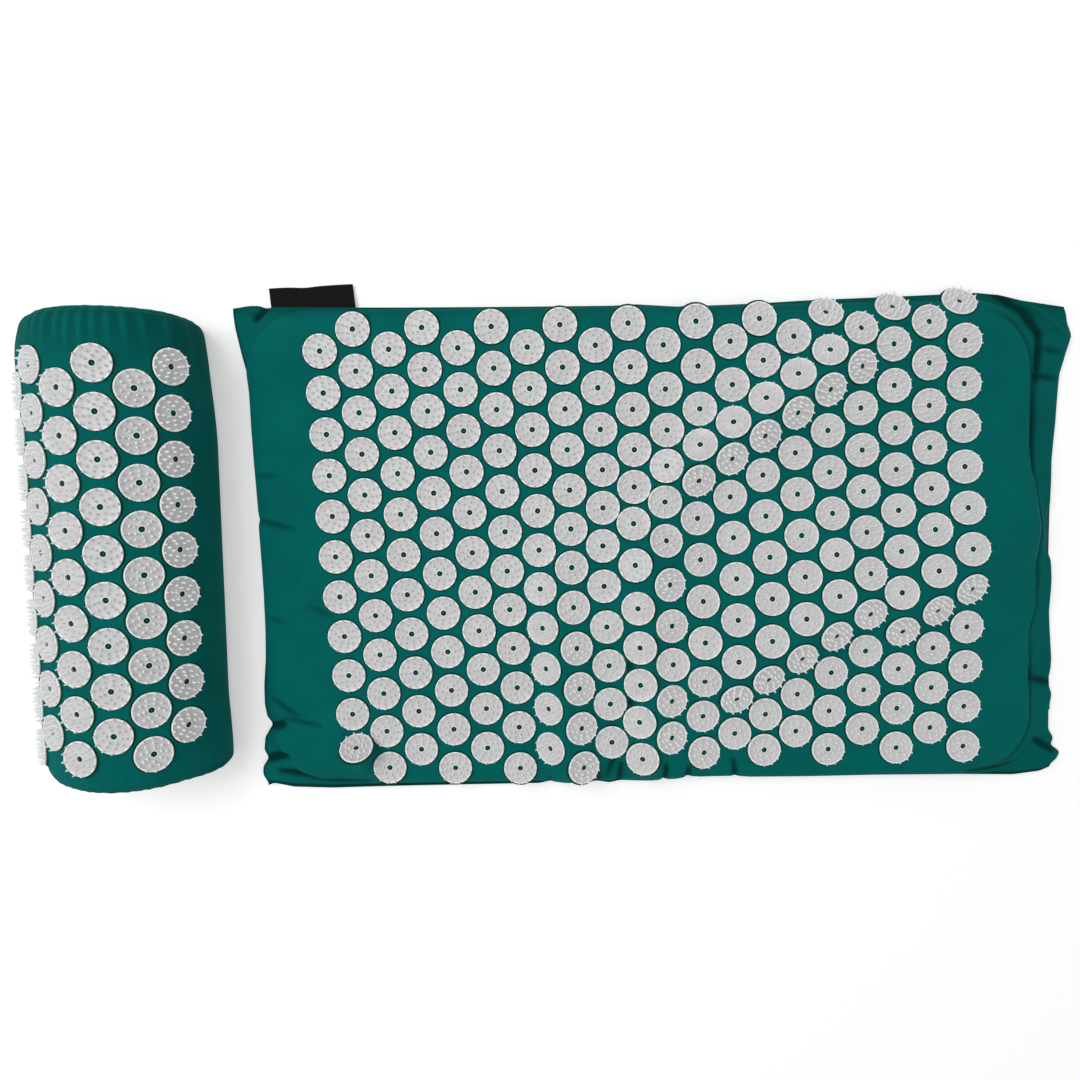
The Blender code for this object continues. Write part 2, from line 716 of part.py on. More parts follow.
def add_pillow_wrap(parts, carrier):
    crown = crown_angles()
    low = angle_at_height(CLOTH + GAP)
    lines = pillow_lines()
    zip_head = ZIP_FOOT + 2 * ZIP_TAPE + ZIP_TEETH + 4 * GAP

    def wrap_place(column, row):
        y = lines[row]
        left = -angle_at_height(zip_head if in_zip(y) else ZIP_FOOT + GAP)
        angles = [low, (low + crown[0]) / 2, *crown, (left + crown[-1]) / 2, left]
        if column == 0:
            return pillow_foot(y, 0.0, CLOTH + GAP, 1.0)
        return pillow_point(angles[column], y, 0.0)

    bm, _ = grid_sheet(len(crown) + 4, len(lines), wrap_place)
    bmesh.ops.triangulate(bm, faces=bm.faces[:], quad_method="SHORT_EDGE")
    thicken(bm, pillow_inward(CLOTH))
    add_object("pillow_cover_wrap", bm, COTTON, parts, carrier)


def pillow_inward(distance):
    """Moves a point of the wrap towards the middle of its own section."""

    def move(point):
        middle = Vector((0.0, point.y, PILLOW_AXIS_HEIGHT))
        return point + (middle - point).normalized() * distance

    return move


def add_pillow_base(parts, carrier):
    """The flat panel under the pillow, turned up along one side to meet the zip."""
    lines = [y for y in pillow_lines() if not in_zip(y) or abs(y) < ZIP_LENGTH / 2]
    foot = angle_at_height(ZIP_FOOT)

    def base_place(column, row):
        y = lines[row]
        if column == 3:
            return pillow_point(-foot, y, 0.0)
        across = pillow_foot(y, 0.0, CLOTH + GAP, 1.0).x
        return Vector(((across, 0.0, -across)[column], y, 0.0))

    bm, _ = grid_sheet(4, len(lines), base_place)

    def inward(point):
        return point + Vector((CLOTH, 0.0, 0.0) if point.z > 0.0 else (0.0, 0.0, CLOTH))

    thicken(bm, inward)
    add_object("pillow_cover_base", bm, COTTON, parts, carrier)


def pillow_foot(y, inset, height, side):
    """A point of the section's foot, where the wrap turns in towards the base."""
    point = pillow_point(side * angle_at_height(height, PILLOW_RADIUS - inset), y, inset)
    point.x -= side * PILLOW_FOOT_TUCK
    return point


def pillow_section(y, inset, bottom):
    """A closed section: the round back, and the flat base at the given height."""
    crown = crown_angles()
    low = angle_at_height(bottom, PILLOW_RADIUS - inset)
    angles = [(low + crown[0]) / 2, *crown, (crown[-1] - low) / 2]
    back = [pillow_point(angle, y, inset) for angle in angles]
    return [pillow_foot(y, inset, bottom, 1.0), *back, pillow_foot(y, inset, bottom, -1.0)]


def loft(sections):
    """A closed solid through sections of equal point counts, capped at both ends."""
    bm = bmesh.new()
    rings = [[bm.verts.new(point) for point in section] for section in sections]
    for first, second in zip(rings, rings[1:]):
        for i in range(len(first)):
            j = (i + 1) % len(first)
            bm.faces.new((first[i], first[j], second[j], second[i]))
    bm.faces.new(rings[0][::-1])
    bm.faces.new(rings[-1])
    bmesh.ops.triangulate(bm, faces=[face for face in bm.faces if len(face.verts) == 4])
    return bm


def crown_ring(rim, y):
    """The ring where an end's crown is nearly at its full height, inside the given rim."""
    middle = sum(rim, Vector()) / len(rim)
    ring = [middle + (point - middle) * PILLOW_END_RING_SHARE for point in rim]
    for point in ring:
        point.y = y + math.copysign(PILLOW_END_CROWN * PILLOW_END_RISE_SHARE, y)
    return ring


def add_pillow_foam(parts, carrier):
    inset = 2 * CLOTH + GAP
    lines = [y for y in pillow_lines() if not in_zip(y) or abs(y) < ZIP_LENGTH / 2]
    sections = [pillow_section(y, inset, CLOTH + GAP) for y in lines]
    sections.insert(0, crown_ring(sections[0], lines[0]))
    sections.append(crown_ring(sections[-1], lines[-1]))
    add_object("pillow_foam_core", loft(sections), FOAM, parts, carrier)


def add_pillow_ends(parts, carrier):
    """The two D-shaped end panels, crowned by the foam behind them."""
    for name, sign in (("pillow_end_panel_far", 1.0), ("pillow_end_panel_near", -1.0)):
        y = sign * (PILLOW_WRAP_LENGTH / 2 + GAP)
        rim = pillow_section(y, 0.0, CLOTH + GAP)
        bm = bmesh.new()
        outer = [bm.verts.new(point) for point in rim]
        inner = [bm.verts.new(point) for point in crown_ring(rim, y)]
        middle = sum(rim, Vector()) / len(rim)
        top = bm.verts.new((middle.x, y + sign * PILLOW_END_CROWN, middle.z))
        for i in range(len(rim)):
            j = (i + 1) % len(rim)
            bm.faces.new((outer[i], outer[j], inner[j], inner[i]))
            bm.faces.new((inner[i], inner[j], top))
        thicken(bm, lambda point: point + Vector((0.0, sign * CLOTH, 0.0)))
        add_object(name, bm, COTTON, parts, carrier)


def add_pillow_discs(parts, carrier):
    """Columns of discs along the pillow, each on its own flat of the wrap."""
    half_step = column_angle() / 2
    flat = PILLOW_RADIUS * math.cos(half_step) + 2 * GAP
    along = Vector((0.0, 1.0, 0.0))
    for column in range(PILLOW_COLUMNS):
        angle = (column - (PILLOW_COLUMNS - 1) / 2) * column_angle()
        normal = Vector((math.sin(angle), 0.0, math.cos(angle)))
        stagger = PILLOW_STAGGER_SHARE if column % 2 else -PILLOW_STAGGER_SHARE
        planes = []
        for disc in range(PILLOW_DISCS):
            y = (disc - (PILLOW_DISCS - 1) / 2 + stagger) * PILLOW_DISC_PITCH + PILLOW_DISC_SHIFT
            middle = Vector((0.0, y, PILLOW_AXIS_HEIGHT))
            planes.append((middle + normal * flat, normal))
        bm = disc_column_mesh(planes, along)
        add_object(f"pillow_discs_{column + 1}", bm, DISC, parts, carrier)


# The zip, in the plane of the pillow's far lower edge


def add_zip(parts, cutters, carrier):
    """Two tapes, the closed teeth between them, stops at both ends, and the slider with its pull."""
    foot = ZIP_FOOT + GAP
    head = foot + 2 * ZIP_TAPE + ZIP_TEETH + 2 * GAP
    low = pillow_point(-angle_at_height(foot), 0.0, CLOTH)
    high = pillow_point(-angle_at_height(head), 0.0, CLOTH)
    lean = math.atan2(high.x - low.x, high.z - low.z)
    frame = add_empty("pillow_zip_plane", (low + high) / 2, (0.0, lean, 0.0), parts, carrier)
    tape_middle = (ZIP_TEETH + ZIP_TAPE) / 2 + GAP
    run = ZIP_LENGTH - 2 * (ZIP_STOP + GAP)
    for name, height, middle in (
        ("pillow_zip_tape_upper", ZIP_TAPE, tape_middle),
        ("pillow_zip_tape_lower", ZIP_TAPE, -tape_middle),
    ):
        bm = box_mesh((CLOTH, ZIP_LENGTH, height), (-CLOTH / 2, 0.0, middle))
        add_object(name, bm, ZIP_CLOTH, parts, frame)
    teeth = box_mesh((ZIP_TEETH_DEPTH, run, ZIP_TEETH), (-ZIP_TEETH_DEPTH / 2, 0.0, 0.0))
    add_object("pillow_zip_teeth", teeth, ZIP_COIL, parts, frame)
    for name, sign in (("pillow_zip_stop_far", 1.0), ("pillow_zip_stop_near", -1.0)):
        middle = sign * (ZIP_LENGTH - ZIP_STOP) / 2
        depth = ZIP_TEETH_DEPTH + GAP + SLIDER_PLATE
        bm = box_mesh((depth, ZIP_STOP, ZIP_TEETH), (-depth / 2, middle, 0.0))
        add_object(name, bm, METAL, parts, frame)
    add_slider(parts, cutters, frame, run / 2 - SLIDER_LENGTH / 2)


def add_slider(parts, cutters, frame, place):
    """The slider straddles the teeth, and its bridge holds the eye of the pull."""
    travel = add_empty("pillow_zip_travel", (0.0, place, 0.0), (0.0, 0.0, 0.0), parts, frame)
    plate_foot = ZIP_TEETH_DEPTH + GAP
    plate_face = plate_foot + SLIDER_PLATE
    height = ZIP_TEETH + 2 * (GAP + SLIDER_CHEEK)
    body = box_mesh((SLIDER_PLATE, SLIDER_LENGTH, height), (-plate_foot - SLIDER_PLATE / 2, 0.0, 0.0))
    slider = add_object("pillow_zip_slider", body, METAL, parts, travel)
    cheek_depth = plate_face - CLOTH - GAP
    for name, sign in (("slider_cheek_upper", 1.0), ("slider_cheek_lower", -1.0)):
        middle = (-CLOTH - GAP - cheek_depth / 2, 0.0, sign * (height - SLIDER_CHEEK) / 2)
        unite_box(slider, name, (cheek_depth, SLIDER_LENGTH, SLIDER_CHEEK), middle, cutters)
    bridge_top = plate_face + BRIDGE_HEIGHT
    middle = (BRIDGE_WIRE / 2 - bridge_top, 0.0, 0.0)
    bar = (BRIDGE_WIRE, BRIDGE_LENGTH, BRIDGE_WIDTH)
    unite_box(slider, "slider_bridge_bar", bar, middle, cutters)
    post = (BRIDGE_HEIGHT + SLIDER_PLATE / 2, BRIDGE_WIRE, BRIDGE_WIDTH)
    for name, sign in (("slider_bridge_post_far", 1.0), ("slider_bridge_post_near", -1.0)):
        middle = (post[0] / 2 - bridge_top, sign * (BRIDGE_LENGTH - BRIDGE_WIRE) / 2, 0.0)
        unite_box(slider, name, post, middle, cutters)
    add_pull(parts, cutters, travel, plate_face)


def unite_box(obj, name, size, middle, cutters):
    """Joins a box to a piece, with its middle at a point in the frame of the piece's parent."""
    box = add_object(name, box_mesh(size, middle), METAL, cutters, obj.parent)
    box.hide_render = True
    box.display_type = "WIRE"
    union = obj.modifiers.new(name, "BOOLEAN")
    union.operation = "UNION"
    union.object = box


def add_pull(parts, cutters, travel, plate_face):
    """A flat pull whose eye goes round the bridge's bar and turns on it."""
    room = BRIDGE_HEIGHT - BRIDGE_WIRE
    axis = Vector((-plate_face - room / 2, BRIDGE_WIRE + room / 2 - BRIDGE_LENGTH / 2, 0.0))
    hub = add_empty("pillow_zip_pull_axis", axis, (0.0, 0.0, 0.0), parts, travel)
    eye = PULL_EYE_BAR
    blade = PULL_LENGTH - eye - PULL_WINDOW
    middle = (0.0, -eye / 2 - PULL_WINDOW - blade / 2, 0.0)
    body = box_mesh((PULL_THICKNESS, blade, PULL_WIDTH), middle)
    pull = add_object("pillow_zip_pull", body, METAL, parts, hub)
    rail = (PULL_WIDTH - BRIDGE_WIDTH) / 2 - GAP
    reach = PULL_WINDOW + eye + GAP
    for name, sign in (("pull_rail_upper", 1.0), ("pull_rail_lower", -1.0)):
        middle = (0.0, (eye - reach) / 2, sign * (PULL_WIDTH - rail) / 2)
        unite_box(pull, name, (PULL_THICKNESS, reach, rail), middle, cutters)
    unite_box(pull, "pull_eye", (PULL_THICKNESS, eye, PULL_WIDTH), (0.0, 0.0, 0.0), cutters)


# Colour, roughness and metallic value of each material
COTTON = ((0.003, 0.112, 0.094), 0.85)
FOAM = ((0.72, 0.70, 0.60), 0.95)
DISC = ((0.62, 0.60, 0.62), 0.42)
LABEL = ((0.012, 0.012, 0.013), 0.55)
LOOP_TAPE = ((0.010, 0.060, 0.052), 0.95)
HOOK_TAPE = ((0.008, 0.050, 0.044), 0.70)
ZIP_CLOTH = ((0.004, 0.090, 0.078), 0.80)
ZIP_COIL = ((0.006, 0.075, 0.065), 0.45)
METAL = ((0.55, 0.55, 0.56), 0.30, 1.0)


def main():
    clear_scene()
    parts = new_collection("acupressure_mat_set")
    cutters = new_collection("cutters")
    add_mat_foam(parts, cutters)
    seat, folds = add_mat_cover_top(parts)
    add_mat_cover_bottom(parts)
    add_mouth(parts)
    add_label(parts)
    add_mat_discs(parts, seat, folds)
    carrier = add_empty(
        "pillow_place", (PILLOW_X, PILLOW_Y, 0.0), (0.0, 0.0, PILLOW_TURN), parts
    )
    add_pillow_foam(parts, carrier)
    add_pillow_wrap(parts, carrier)
    add_pillow_base(parts, carrier)
    add_pillow_ends(parts, carrier)
    add_pillow_discs(parts, carrier)
    add_zip(parts, cutters, carrier)


main()
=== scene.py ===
"""Looks of an acupressure mat and its neck pillow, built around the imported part.

Lengths are in metres in the part's frame: the mat lies along X, and the floor is at zero.
"""

import math

import bpy
import numpy as np
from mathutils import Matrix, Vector


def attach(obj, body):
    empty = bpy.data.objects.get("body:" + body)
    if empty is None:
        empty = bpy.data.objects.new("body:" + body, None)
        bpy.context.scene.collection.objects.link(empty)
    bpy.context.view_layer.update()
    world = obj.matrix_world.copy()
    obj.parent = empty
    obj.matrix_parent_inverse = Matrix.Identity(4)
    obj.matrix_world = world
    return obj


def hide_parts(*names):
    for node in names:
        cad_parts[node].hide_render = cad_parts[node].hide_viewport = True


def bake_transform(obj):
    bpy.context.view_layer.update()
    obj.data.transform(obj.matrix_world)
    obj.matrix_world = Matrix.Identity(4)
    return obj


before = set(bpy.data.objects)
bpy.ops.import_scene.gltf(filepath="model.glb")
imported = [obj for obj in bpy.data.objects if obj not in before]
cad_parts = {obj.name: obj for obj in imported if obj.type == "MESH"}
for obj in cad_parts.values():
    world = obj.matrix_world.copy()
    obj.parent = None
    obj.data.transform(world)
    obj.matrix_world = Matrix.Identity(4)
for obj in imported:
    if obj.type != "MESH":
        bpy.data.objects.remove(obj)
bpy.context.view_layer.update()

MM = 0.001

# Sizes of the part that the looks are fitted to
GAP = 0.0003
CLOTH = 0.0012
TAPE = 0.0012
MAT_LENGTH = 0.680
MAT_WIDTH = 0.401
MAT_TAPER_SHARE = 0.0125
MAT_SKEW_SHARES = (0.015, 0.0115)
END_DRAW_IN = 0.008
SIDE_DRAW_IN = 0.002
FOAM_THICKNESS = 0.018
FOAM_LEFT = 0.322
FOAM_RIGHT = 0.309
FOAM_WIDTH = 0.378
FOAM_CORNER = 0.045
SEAM_TOP = 2 * CLOTH + 2 * TAPE + 3 * GAP
SEAM_UNDERSIDE = SEAM_TOP - 2 * CLOTH - GAP
MAT_TOP = 2 * CLOTH + 2 * GAP + FOAM_THICKNESS
HINGE_X = FOAM_RIGHT + GAP

# How the cover rolls down at the foam's edge and its mouth, and puffs and closes at its seams
EDGE_ROUND = 0.013
EDGE_SLACK = 0.010
MOUTH_SLACK = 0.023
MOUTH_FOOT_SHARE = 0.52
MOUTH_BLEND = (0.060, 0.055)
MOUTH_SIDE_BLEND = 0.025
MARGIN_PUFF = 0.0024
PUFF_RISE = 0.004
HEM_DEPTH = 0.0012
HEM_LINE = (0.0034, 0.0011)
HEM_TURN = 0.0012
SEAM_CLOSING = 0.0035
FLAP_RIPPLE = 0.0009
FLAP_RIPPLE_WAVES = (95, 31)
OUTLINE_SHARPNESS = 10
LOWER_RIGHT_SHARE = 0.35
LOWER_RISE = (0.020, 0.016)
LOWER_INSET = 0.0006
FOAM_EDGE_CLEARANCE = 0.0015
FOAM_EDGE_HEIGHT = 0.004
FOLD_GAIN = 1.5
FOLD_WIDTH_SHARE = 0.78

# Creases: start, end, height, reach in front and behind, slack, and how steeply the back falls
CREASE_HEIGHT = 0.0145
CREASE_FRONT = 0.028
CREASE_BACK = 0.050
CREASE_SLACK = 0.010
CREASE_REACH = 0.120
CREASE_FADE_SHARE = 0.22
CREASE_SHARES = (
    ((-0.02, 0.10), (0.27, 0.44), 1.05, 1.0, 0.72, 1.0, 2.0),
    ((0.235, -0.185), (0.50, 0.09), 1.0, 1.05, 1.9, 0.15, 1.3),
    ((0.02, -0.33), (0.31, -0.03), 1.0, 1.05, 1.9, 0.0, 1.3),
    ((-0.04, -0.31), (0.11, -0.17), 0.9, 1.05, 1.9, 0.0, 1.3),
    ((-0.122, 0.11), (-0.110, -1.85), 1.25, 0.88, 1.2, 0.15, 2.0),
    ((-0.012, 0.10), (-0.015, -0.60), 1.05, 1.4, 1.0, 0.3, 1.6),
)
CREST_ROUND_SHARE = 0.10
FOOT_ROUND_SHARE = 0.10

# The even field of discs
DISC_DIAMETER = 0.0276
DISC_PITCH = 0.0333
COLUMN_SPACING = 0.0273
COLUMNS = 20
HALF_ROWS = 23
FIELD_SHIFT_X = -0.0054
FIELD_SHIFT_Y = 0.0054
COLUMN_LEAN_SHARE = -0.0225
ROW_CLIMB_SHARE = 0.0232

# Where the stretched cloth carries the discs away from their even rows: place, reach and movement
FIELD_DRIFT_SHARES = (
    ((0.22, 0.27), 0.088, (-0.0060, 0.0035)),
    ((0.03, 0.19), 0.080, (0.0010, -0.0060)),
    ((-0.39, 0.01), 0.130, (-0.0045, 0.0)),
    ((-0.22, -0.17), 0.088, (0.0050, 0.0)),
    ((0.14, -0.04), 0.110, (0.0065, -0.0015)),
    ((-0.015, -0.07), 0.070, (0.0, -0.0050)),
    ((0.36, -0.07), 0.088, (0.0047, 0.0)),
    ((0.20, -0.27), 0.110, (-0.0090, 0.0)),
    ((0.045, -0.27), 0.066, (-0.0015, 0.0050)),
    ((0.15, -0.14), 0.066, (-0.0015, -0.0038)),
    ((0.36, -0.27), 0.074, (-0.0022, -0.0032)),
    ((0.37, 0.25), 0.066, (0.0010, 0.0032)),
    ((-0.005, -0.225), 0.060, (-0.0062, 0.0030)),
    ((-0.03, -0.265), 0.030, (0.0, 0.0035)),
    ((-0.342, -0.262), 0.035, (0.0, 0.0038)),
    ((-0.184, -0.262), 0.035, (0.0, -0.0038)),
    ((0.145, -0.262), 0.035, (-0.0020, 0.0034)),
    ((0.30, -0.05), 0.035, (-0.0055, 0.0)),
    ((0.14, 0.27), 0.035, (-0.0045, -0.0028)),
)

# Sizes of the pillow
PILLOW_PLACE = (-0.4273, 0.0136)
PILLOW_TURN = math.radians(-1.2)
PILLOW_RADIUS = 0.0717
PILLOW_AXIS_HEIGHT = 0.026
PILLOW_LENGTH = 0.360
PILLOW_END_CROWN = 0.0055
PILLOW_TAPER_LENGTH = 0.036
PILLOW_TAPER_SHARE = 0.10
PILLOW_DISC_SHIFT = -0.005
PILLOW_COLUMNS = 6
PILLOW_COLUMN_SPACING = 0.0262
PILLOW_DISC_PITCH = 0.0341
PILLOW_DISCS = 9
PILLOW_STAGGER_SHARE = 0.25
PILLOW_DISC_SINK = 0.0006
PILLOW_DISC_FALL = 0.0035
END_ROLL = 0.010
END_ROLL_DROP = 0.0042
CORNER_BULGE = 0.0040
FLANK_DRAW = 0.0050
CORNER_DRAW = 0.0048
NEAR_BULGE = 0.0018
SECTION_CORNER = 0.006
FOAM_CROWN_SHARE = 0.6
PUCKERS = 31
PUCKER_DRIFT = 7
PUCKER_DEPTHS = (0.35, 0.29, 0.23, 0.17, 0.11)
WRAP_FOOT = 0.0024
WRAP_FOOT_TURN = 0.0045
ZIP_LENGTH = 0.320
ZIP_CLOTH_HEIGHT = 0.0185
ZIP_CORNER = 0.0006
BASE_CLOTH_HEIGHT = 0.0062
BASE_TURN_HEIGHT = 0.0058
WELD_REACH = 0.00005

# Gathers in the wrap: place in degrees, height, length, and half width in degrees
GATHERS = (
    (-38, 1.0, 30, 2.2), (-30, 1.2, 34, 1.8), (-21, 1.5, 42, 1.6), (-12, 1.6, 36, 1.5),
    (-5, 1.8, 44, 1.5), (3, 1.9, 48, 1.5), (10, 1.7, 40, 1.5), (18, 1.5, 44, 1.7),
    (27, 1.6, 38, 1.8), (37, 1.2, 40, 2.0), (52, 0.8, 36, 2.5), (-55, 0.7, 30, 2.5),
    (70, 0.6, 34, 3.0), (-74, 0.7, 30, 3.0),
)
GATHER_DRIFT = 2.5
NEAR_GATHER_TURN = 4.0
NEAR_GATHER_SHARES = (0.35, 0.6)
# Painted shade in the wrap: how dark the pleats' valleys are near the far end, the pleats' length,
# and the fold height that clears it
PLEAT_SHADE = 0.45
PLEAT_LENGTH = 0.060
PLEAT_CLEAR = 0.0009

# How far the cover's edges stand out from their even lines: place along the edge, then the offset
LEFT_EDGE = (
    (-205, 2), (-199, 0), (-191, 5), (-184, 5), (-176, 0), (-169, 4), (-158, 3), (-151, -1),
    (-146, -4), (-140, 1), (-129, 3), (-112, 3), (-90, 1), (-60, 0), (-31, -1), (24, -1),
    (30, -3), (36, -2), (76, -2), (104, -3), (133, -5), (152, -4), (166, -2), (185, 0), (196, 0),
    (204, -1),
)
RIGHT_EDGE = (
    (-205, -6), (-196, -6), (-192, 0), (-184, 4), (-181, 2), (-177, -3), (-170, 0), (-162, -4),
    (-144, -4), (-130, -1), (-119, -4), (-108, -1), (-99, 0), (-54, -1), (-15, 0), (-9, -2),
    (0, -5), (14, -6), (27, -4), (34, -2), (70, -3), (100, -1), (140, 0), (150, 2),
    (157, 3), (172, 6), (184, 2), (192, 1), (204, -3),
)
TOP_EDGE = (
    (-345, -2), (-326, 1), (-318, 1), (-313, -1), (-305, 0), (-200, 0), (-30, 1), (-12, 2),
    (22, 0), (60, 1), (90, 2), (130, 4), (200, 6), (266, 8), (285, 6), (305, 1), (345, -5),
)
BOTTOM_EDGE = (
    (-345, 0), (-335, -4), (-318, 0), (-285, 2), (-240, 2), (-106, 3), (-97, 1), (-86, 3),
    (-71, 4), (-56, 2), (-46, 4), (-37, 2), (-20, 3), (0, -1), (9, 1), (21, -3), (32, -1),
    (41, -1), (62, -1), (74, 1), (119, 2), (183, 1), (305, 3), (330, 0), (345, -6),
)

# Folds in the cover, in millimetres: start, end, height (below zero: a groove), half width
MAT_FOLDS = (
    (-327, -121, -306, -135, -1.3, 2.4), (-315, -137, -288, -144, -1.1, 2.4),
    (-334, -147, -319, -142, -5.0, 3.6), (-338, -176, -320, -172, -5.0, 3.6),
    (-328, -187, -296, -192, -2.6, 3.0), (-300, -193, -250, -194, -1.6, 3.0),
    (-325, 66, -310, 65, -0.9, 2.4), (-331, 30, -298, 22, -1.3, 2.6),
    (-290, -42, -272, -51, -0.8, 2.6), (-326, -52, -311, -56, -0.9, 2.4),
    (-312, 201, -321, 192, -3.0, 2.8), (-340, 204, -318, 197, 1.5, 3.0),
    (0, -178, -1, -199, -3.4, 2.6), (20, -183, 20, -198, -3.0, 2.6),
    (58, -179, 62, -199, -2.6, 2.6), (-37, -178, -38, -202, -3.2, 2.6),
    (-56, -186, -56, -202, -2.4, 2.6), (-97, -190, -97, -203, -1.8, 2.6),
    (310, -102, 311, -114, -1.4, 2.6), (310, -113, 334, -120, -2.6, 3.0),
    (318, -80, 310, -101, 1.4, 3.0), (318, -168, 335, -179, -3.2, 3.0),
    (308, -186, 258, -193, -1.8, 3.0), (300, -187, 322, -180, 1.6, 4.0),
    (281, 203, 303, 191, -2.8, 4.2), (303, 191, 315, 172, -3.4, 4.4),
    (315, 172, 312, 135, -3.0, 4.0), (298, 197, 321, 186, 2.4, 3.4),
    (321, 186, 337, 170, 2.2, 3.4), (318, 160, 334, 157, -1.2, 2.6),
    (309, 138, 330, 136, -1.8, 2.6), (310, 135, 308, 60, -1.8, 3.6),
    (327, 28, 324, 12, -2.4, 2.4), (324, 12, 328, -10, -2.4, 2.4),
    (319, -8, 314, -46, 1.6, 3.2), (312, 46, 319, -8, 1.4, 3.2),
    (314, -46, 294, -93, 1.0, 3.4), (-27, -84, -28, -138, -2.6, 2.8),
    (-28, -138, -49, -190, -2.2, 2.8),
)
FOAM_LINE_SHIFT = (
    (-200, 0), (-156, 1), (-113, 0), (-72, -1), (-51, 4), (-13, 4), (20, 3), (50, 1), (80, -3),
    (150, -4), (200, -4),
)

# Painted shade on the cover, where it is darker: strength, distance from the edge and half width in
# millimetres
FOAM_LINE_SHADE = (0.55, -1.5, 2.2)
NEAR_HEM_SHADE = (0.95, 1.4, 1.8)
FAR_HEM_SHADE = (0.45, 0.0, 7.0)
LEFT_HEM_SHADE = (0.55, 1.0, 1.6)
MARGIN_SHADE = 0.17
GROOVE_SHADE = 0.85
FOLD_FULL_DARK = 0.0026

# One disc stands up on a lifted pinch of the cloth: its column, half row, slopes, lift and pinch
STANDING_DISC = (0, 21)
STANDING_SLOPES = (0.06, -1.30)
STANDING_LIFT = 0.0110
STANDING_PINCH = 0.0130
STANDING_PINCH_SHIFT = -0.0060
STANDING_SHIFT = (0.0031, 0.0065)

# Disc: a plate with a raised lip and collar, and rings of pointed studs
# A point has a radius, a height and, on the plate, a tone: 1 marks painted highlight on the lip and
# collar. A ring has a count, a radius and a turn
PLATE_PROFILE = (
    (13.5, 0.0, 0), (13.8, 0.4, 1), (13.8, 1.1, 1), (13.4, 1.5, 1), (12.9, 1.45, 1), (12.5, 1.15, 0),
    (3.1, 1.15, 0), (2.65, 1.45, 1), (2.25, 1.25, 0), (2.15, 0.0, 0),
)
PLATE_STEPS = 30
STUD_RINGS = ((12, 12.8, 0.0), (9, 8.7, 0.17), (6, 5.4, 0.4))
STUD_PROFILE = ((1.25, 0.9), (0.95, 2.4), (0.38, 4.6))
STUD_SIDES = 5
STUD_TIP = 4.9
# Studs carry painted light: a pale tone that lifts their shaded sides to the plate's brightness
STUD_TONE = 0.85

# Marks that a disc leaves on the cloth, from the outside in: radius, height and tone. A low tone is
# painted contact shadow, round the rim and in the hole; a high tone is the cloth's own colour
PRESS_RING = ((15.6, -0.55, 0.8), (14.9, 0.0, 0.35), (14.2, 0.08, 0.0), (13.2, 0.09, 0.0))
PRESS_KNOB = ((2.6, 0.09, 0.0), (1.25, 0.11, 0.0), (1.05, 0.45, 1.0), (0.6, 0.70, 1.0))

# Cloth grid, and how it lies under the discs
MAT_STEPS = (400, 240)
GRID_CROWDING = 0.8
DISC_SEAT_FALL = 0.0040
DISC_SAMPLE_STEPS = 16
DISC_SAMPLE_SHARES = (0.35, 0.7, 1.0)
DISC_HOLD = 0.90
DISC_HOLD_LOSS = 0.82
LOWER_STEPS = (137, 81)
FOAM_STEPS = (201, 121)
WRAP_STEPS = (150, 181)
BASE_STEPS = (40, 91)
BASE_TURN_STEPS = 6
SECTION_STEPS = 72
SECTION_FLAT_STEPS = 24
CAP_STEPS = 10
PILLOW_FOAM_RINGS = 25
RIM = 0.9999

# The label: its corners at the seam and at its fold, in millimetres
LABEL_ROOT = ((-308.5, 198.5), (-239.5, 198.5))
LABEL_FOLD = ((-310.3, 218.0), (-241.5, 220.6))
LABEL_SIZE = (0.069, 0.020)
LABEL_STEPS = (61, 17)
LABEL_THICKNESS = 0.0008
LABEL_EDGE = 0.0003

COTTON_BASE = (0.0, 0.120, 0.108)
COTTON_PALE = (0.0, 0.162, 0.146)
COTTON_DARK = (0.0, 0.102, 0.092)

# Camera and light
CAMERA_PLACE = (-0.0966, 0.0761, 0.6733)
CAMERA_ANGLES = (-5.675, -0.085, -1.485)
CAMERA_LENS = 26.667
WORLD_LEVEL = 0.46
FLOOR_GLOW = 0.34
FLOOR_REACH = 4.0
SOFTBOXES = (
    ("key_softbox", (-1.1, 0.65, 1.95), (1.4, 1.1), 25.0),
    ("fill_softbox", (0.7, -0.5, 2.4), (2.0, 2.0), 7.0),
)


# Shape helpers


def smooth(share):
    share = np.clip(share, 0.0, 1.0)
    return share * share * (3.0 - 2.0 * share)


def bell(value, width, middle=0.0):
    return np.exp(-(((value - middle) / width) ** 2))


def rounded(share):
    """A quarter round: it rises steeply from 0 and levels out at 1."""
    share = np.clip(share, 0.0, 1.0)
    return np.sqrt(1.0 - (1.0 - share) ** 2)


def edge_table(places, table):
    """Reads a table of offsets in millimetres at places in metres, and rounds its corners."""
    along = np.array([row[0] for row in table]) * MM
    offset = np.array([row[1] for row in table]) * MM
    reach = 1.5 * MM
    near = [np.interp(places + shift * reach, along, offset) for shift in (-1.0, 0.0, 1.0)]
    return sum(near) / len(near)


def grid(across, along):
    """The places of a grid, row by row."""
    across, along = np.meshgrid(across, along)
    return across.ravel(), along.ravel()


def even_grid(steps, low=-1.0):
    return grid(*(np.linspace(low, 1.0, count) for count in steps))


def crowded(count):
    """Places from -1 to 1 that lie closer together towards both ends."""
    spread = GRID_CROWDING * math.pi / 2
    return np.sin(np.linspace(-spread, spread, count)) / math.sin(spread)


def grid_faces(columns, rows):
    """Quads of a grid whose points are stored row by row."""
    start = np.arange(columns - 1)[None, :] + np.arange(rows - 1)[:, None] * columns
    start = start.ravel()
    return np.stack([start, start + 1, start + columns + 1, start + columns], axis=1)


def ring_faces(count, rings, closed=False):
    """Quads between rings of points that are stored ring by ring."""
    here = np.arange(rings if closed else rings - 1)[:, None] * count
    above = (here + count) % (rings * count)
    i = np.arange(count)
    j = (i + 1) % count
    return np.stack([here + i, here + j, above + j, above + i], axis=-1).reshape(-1, 4)


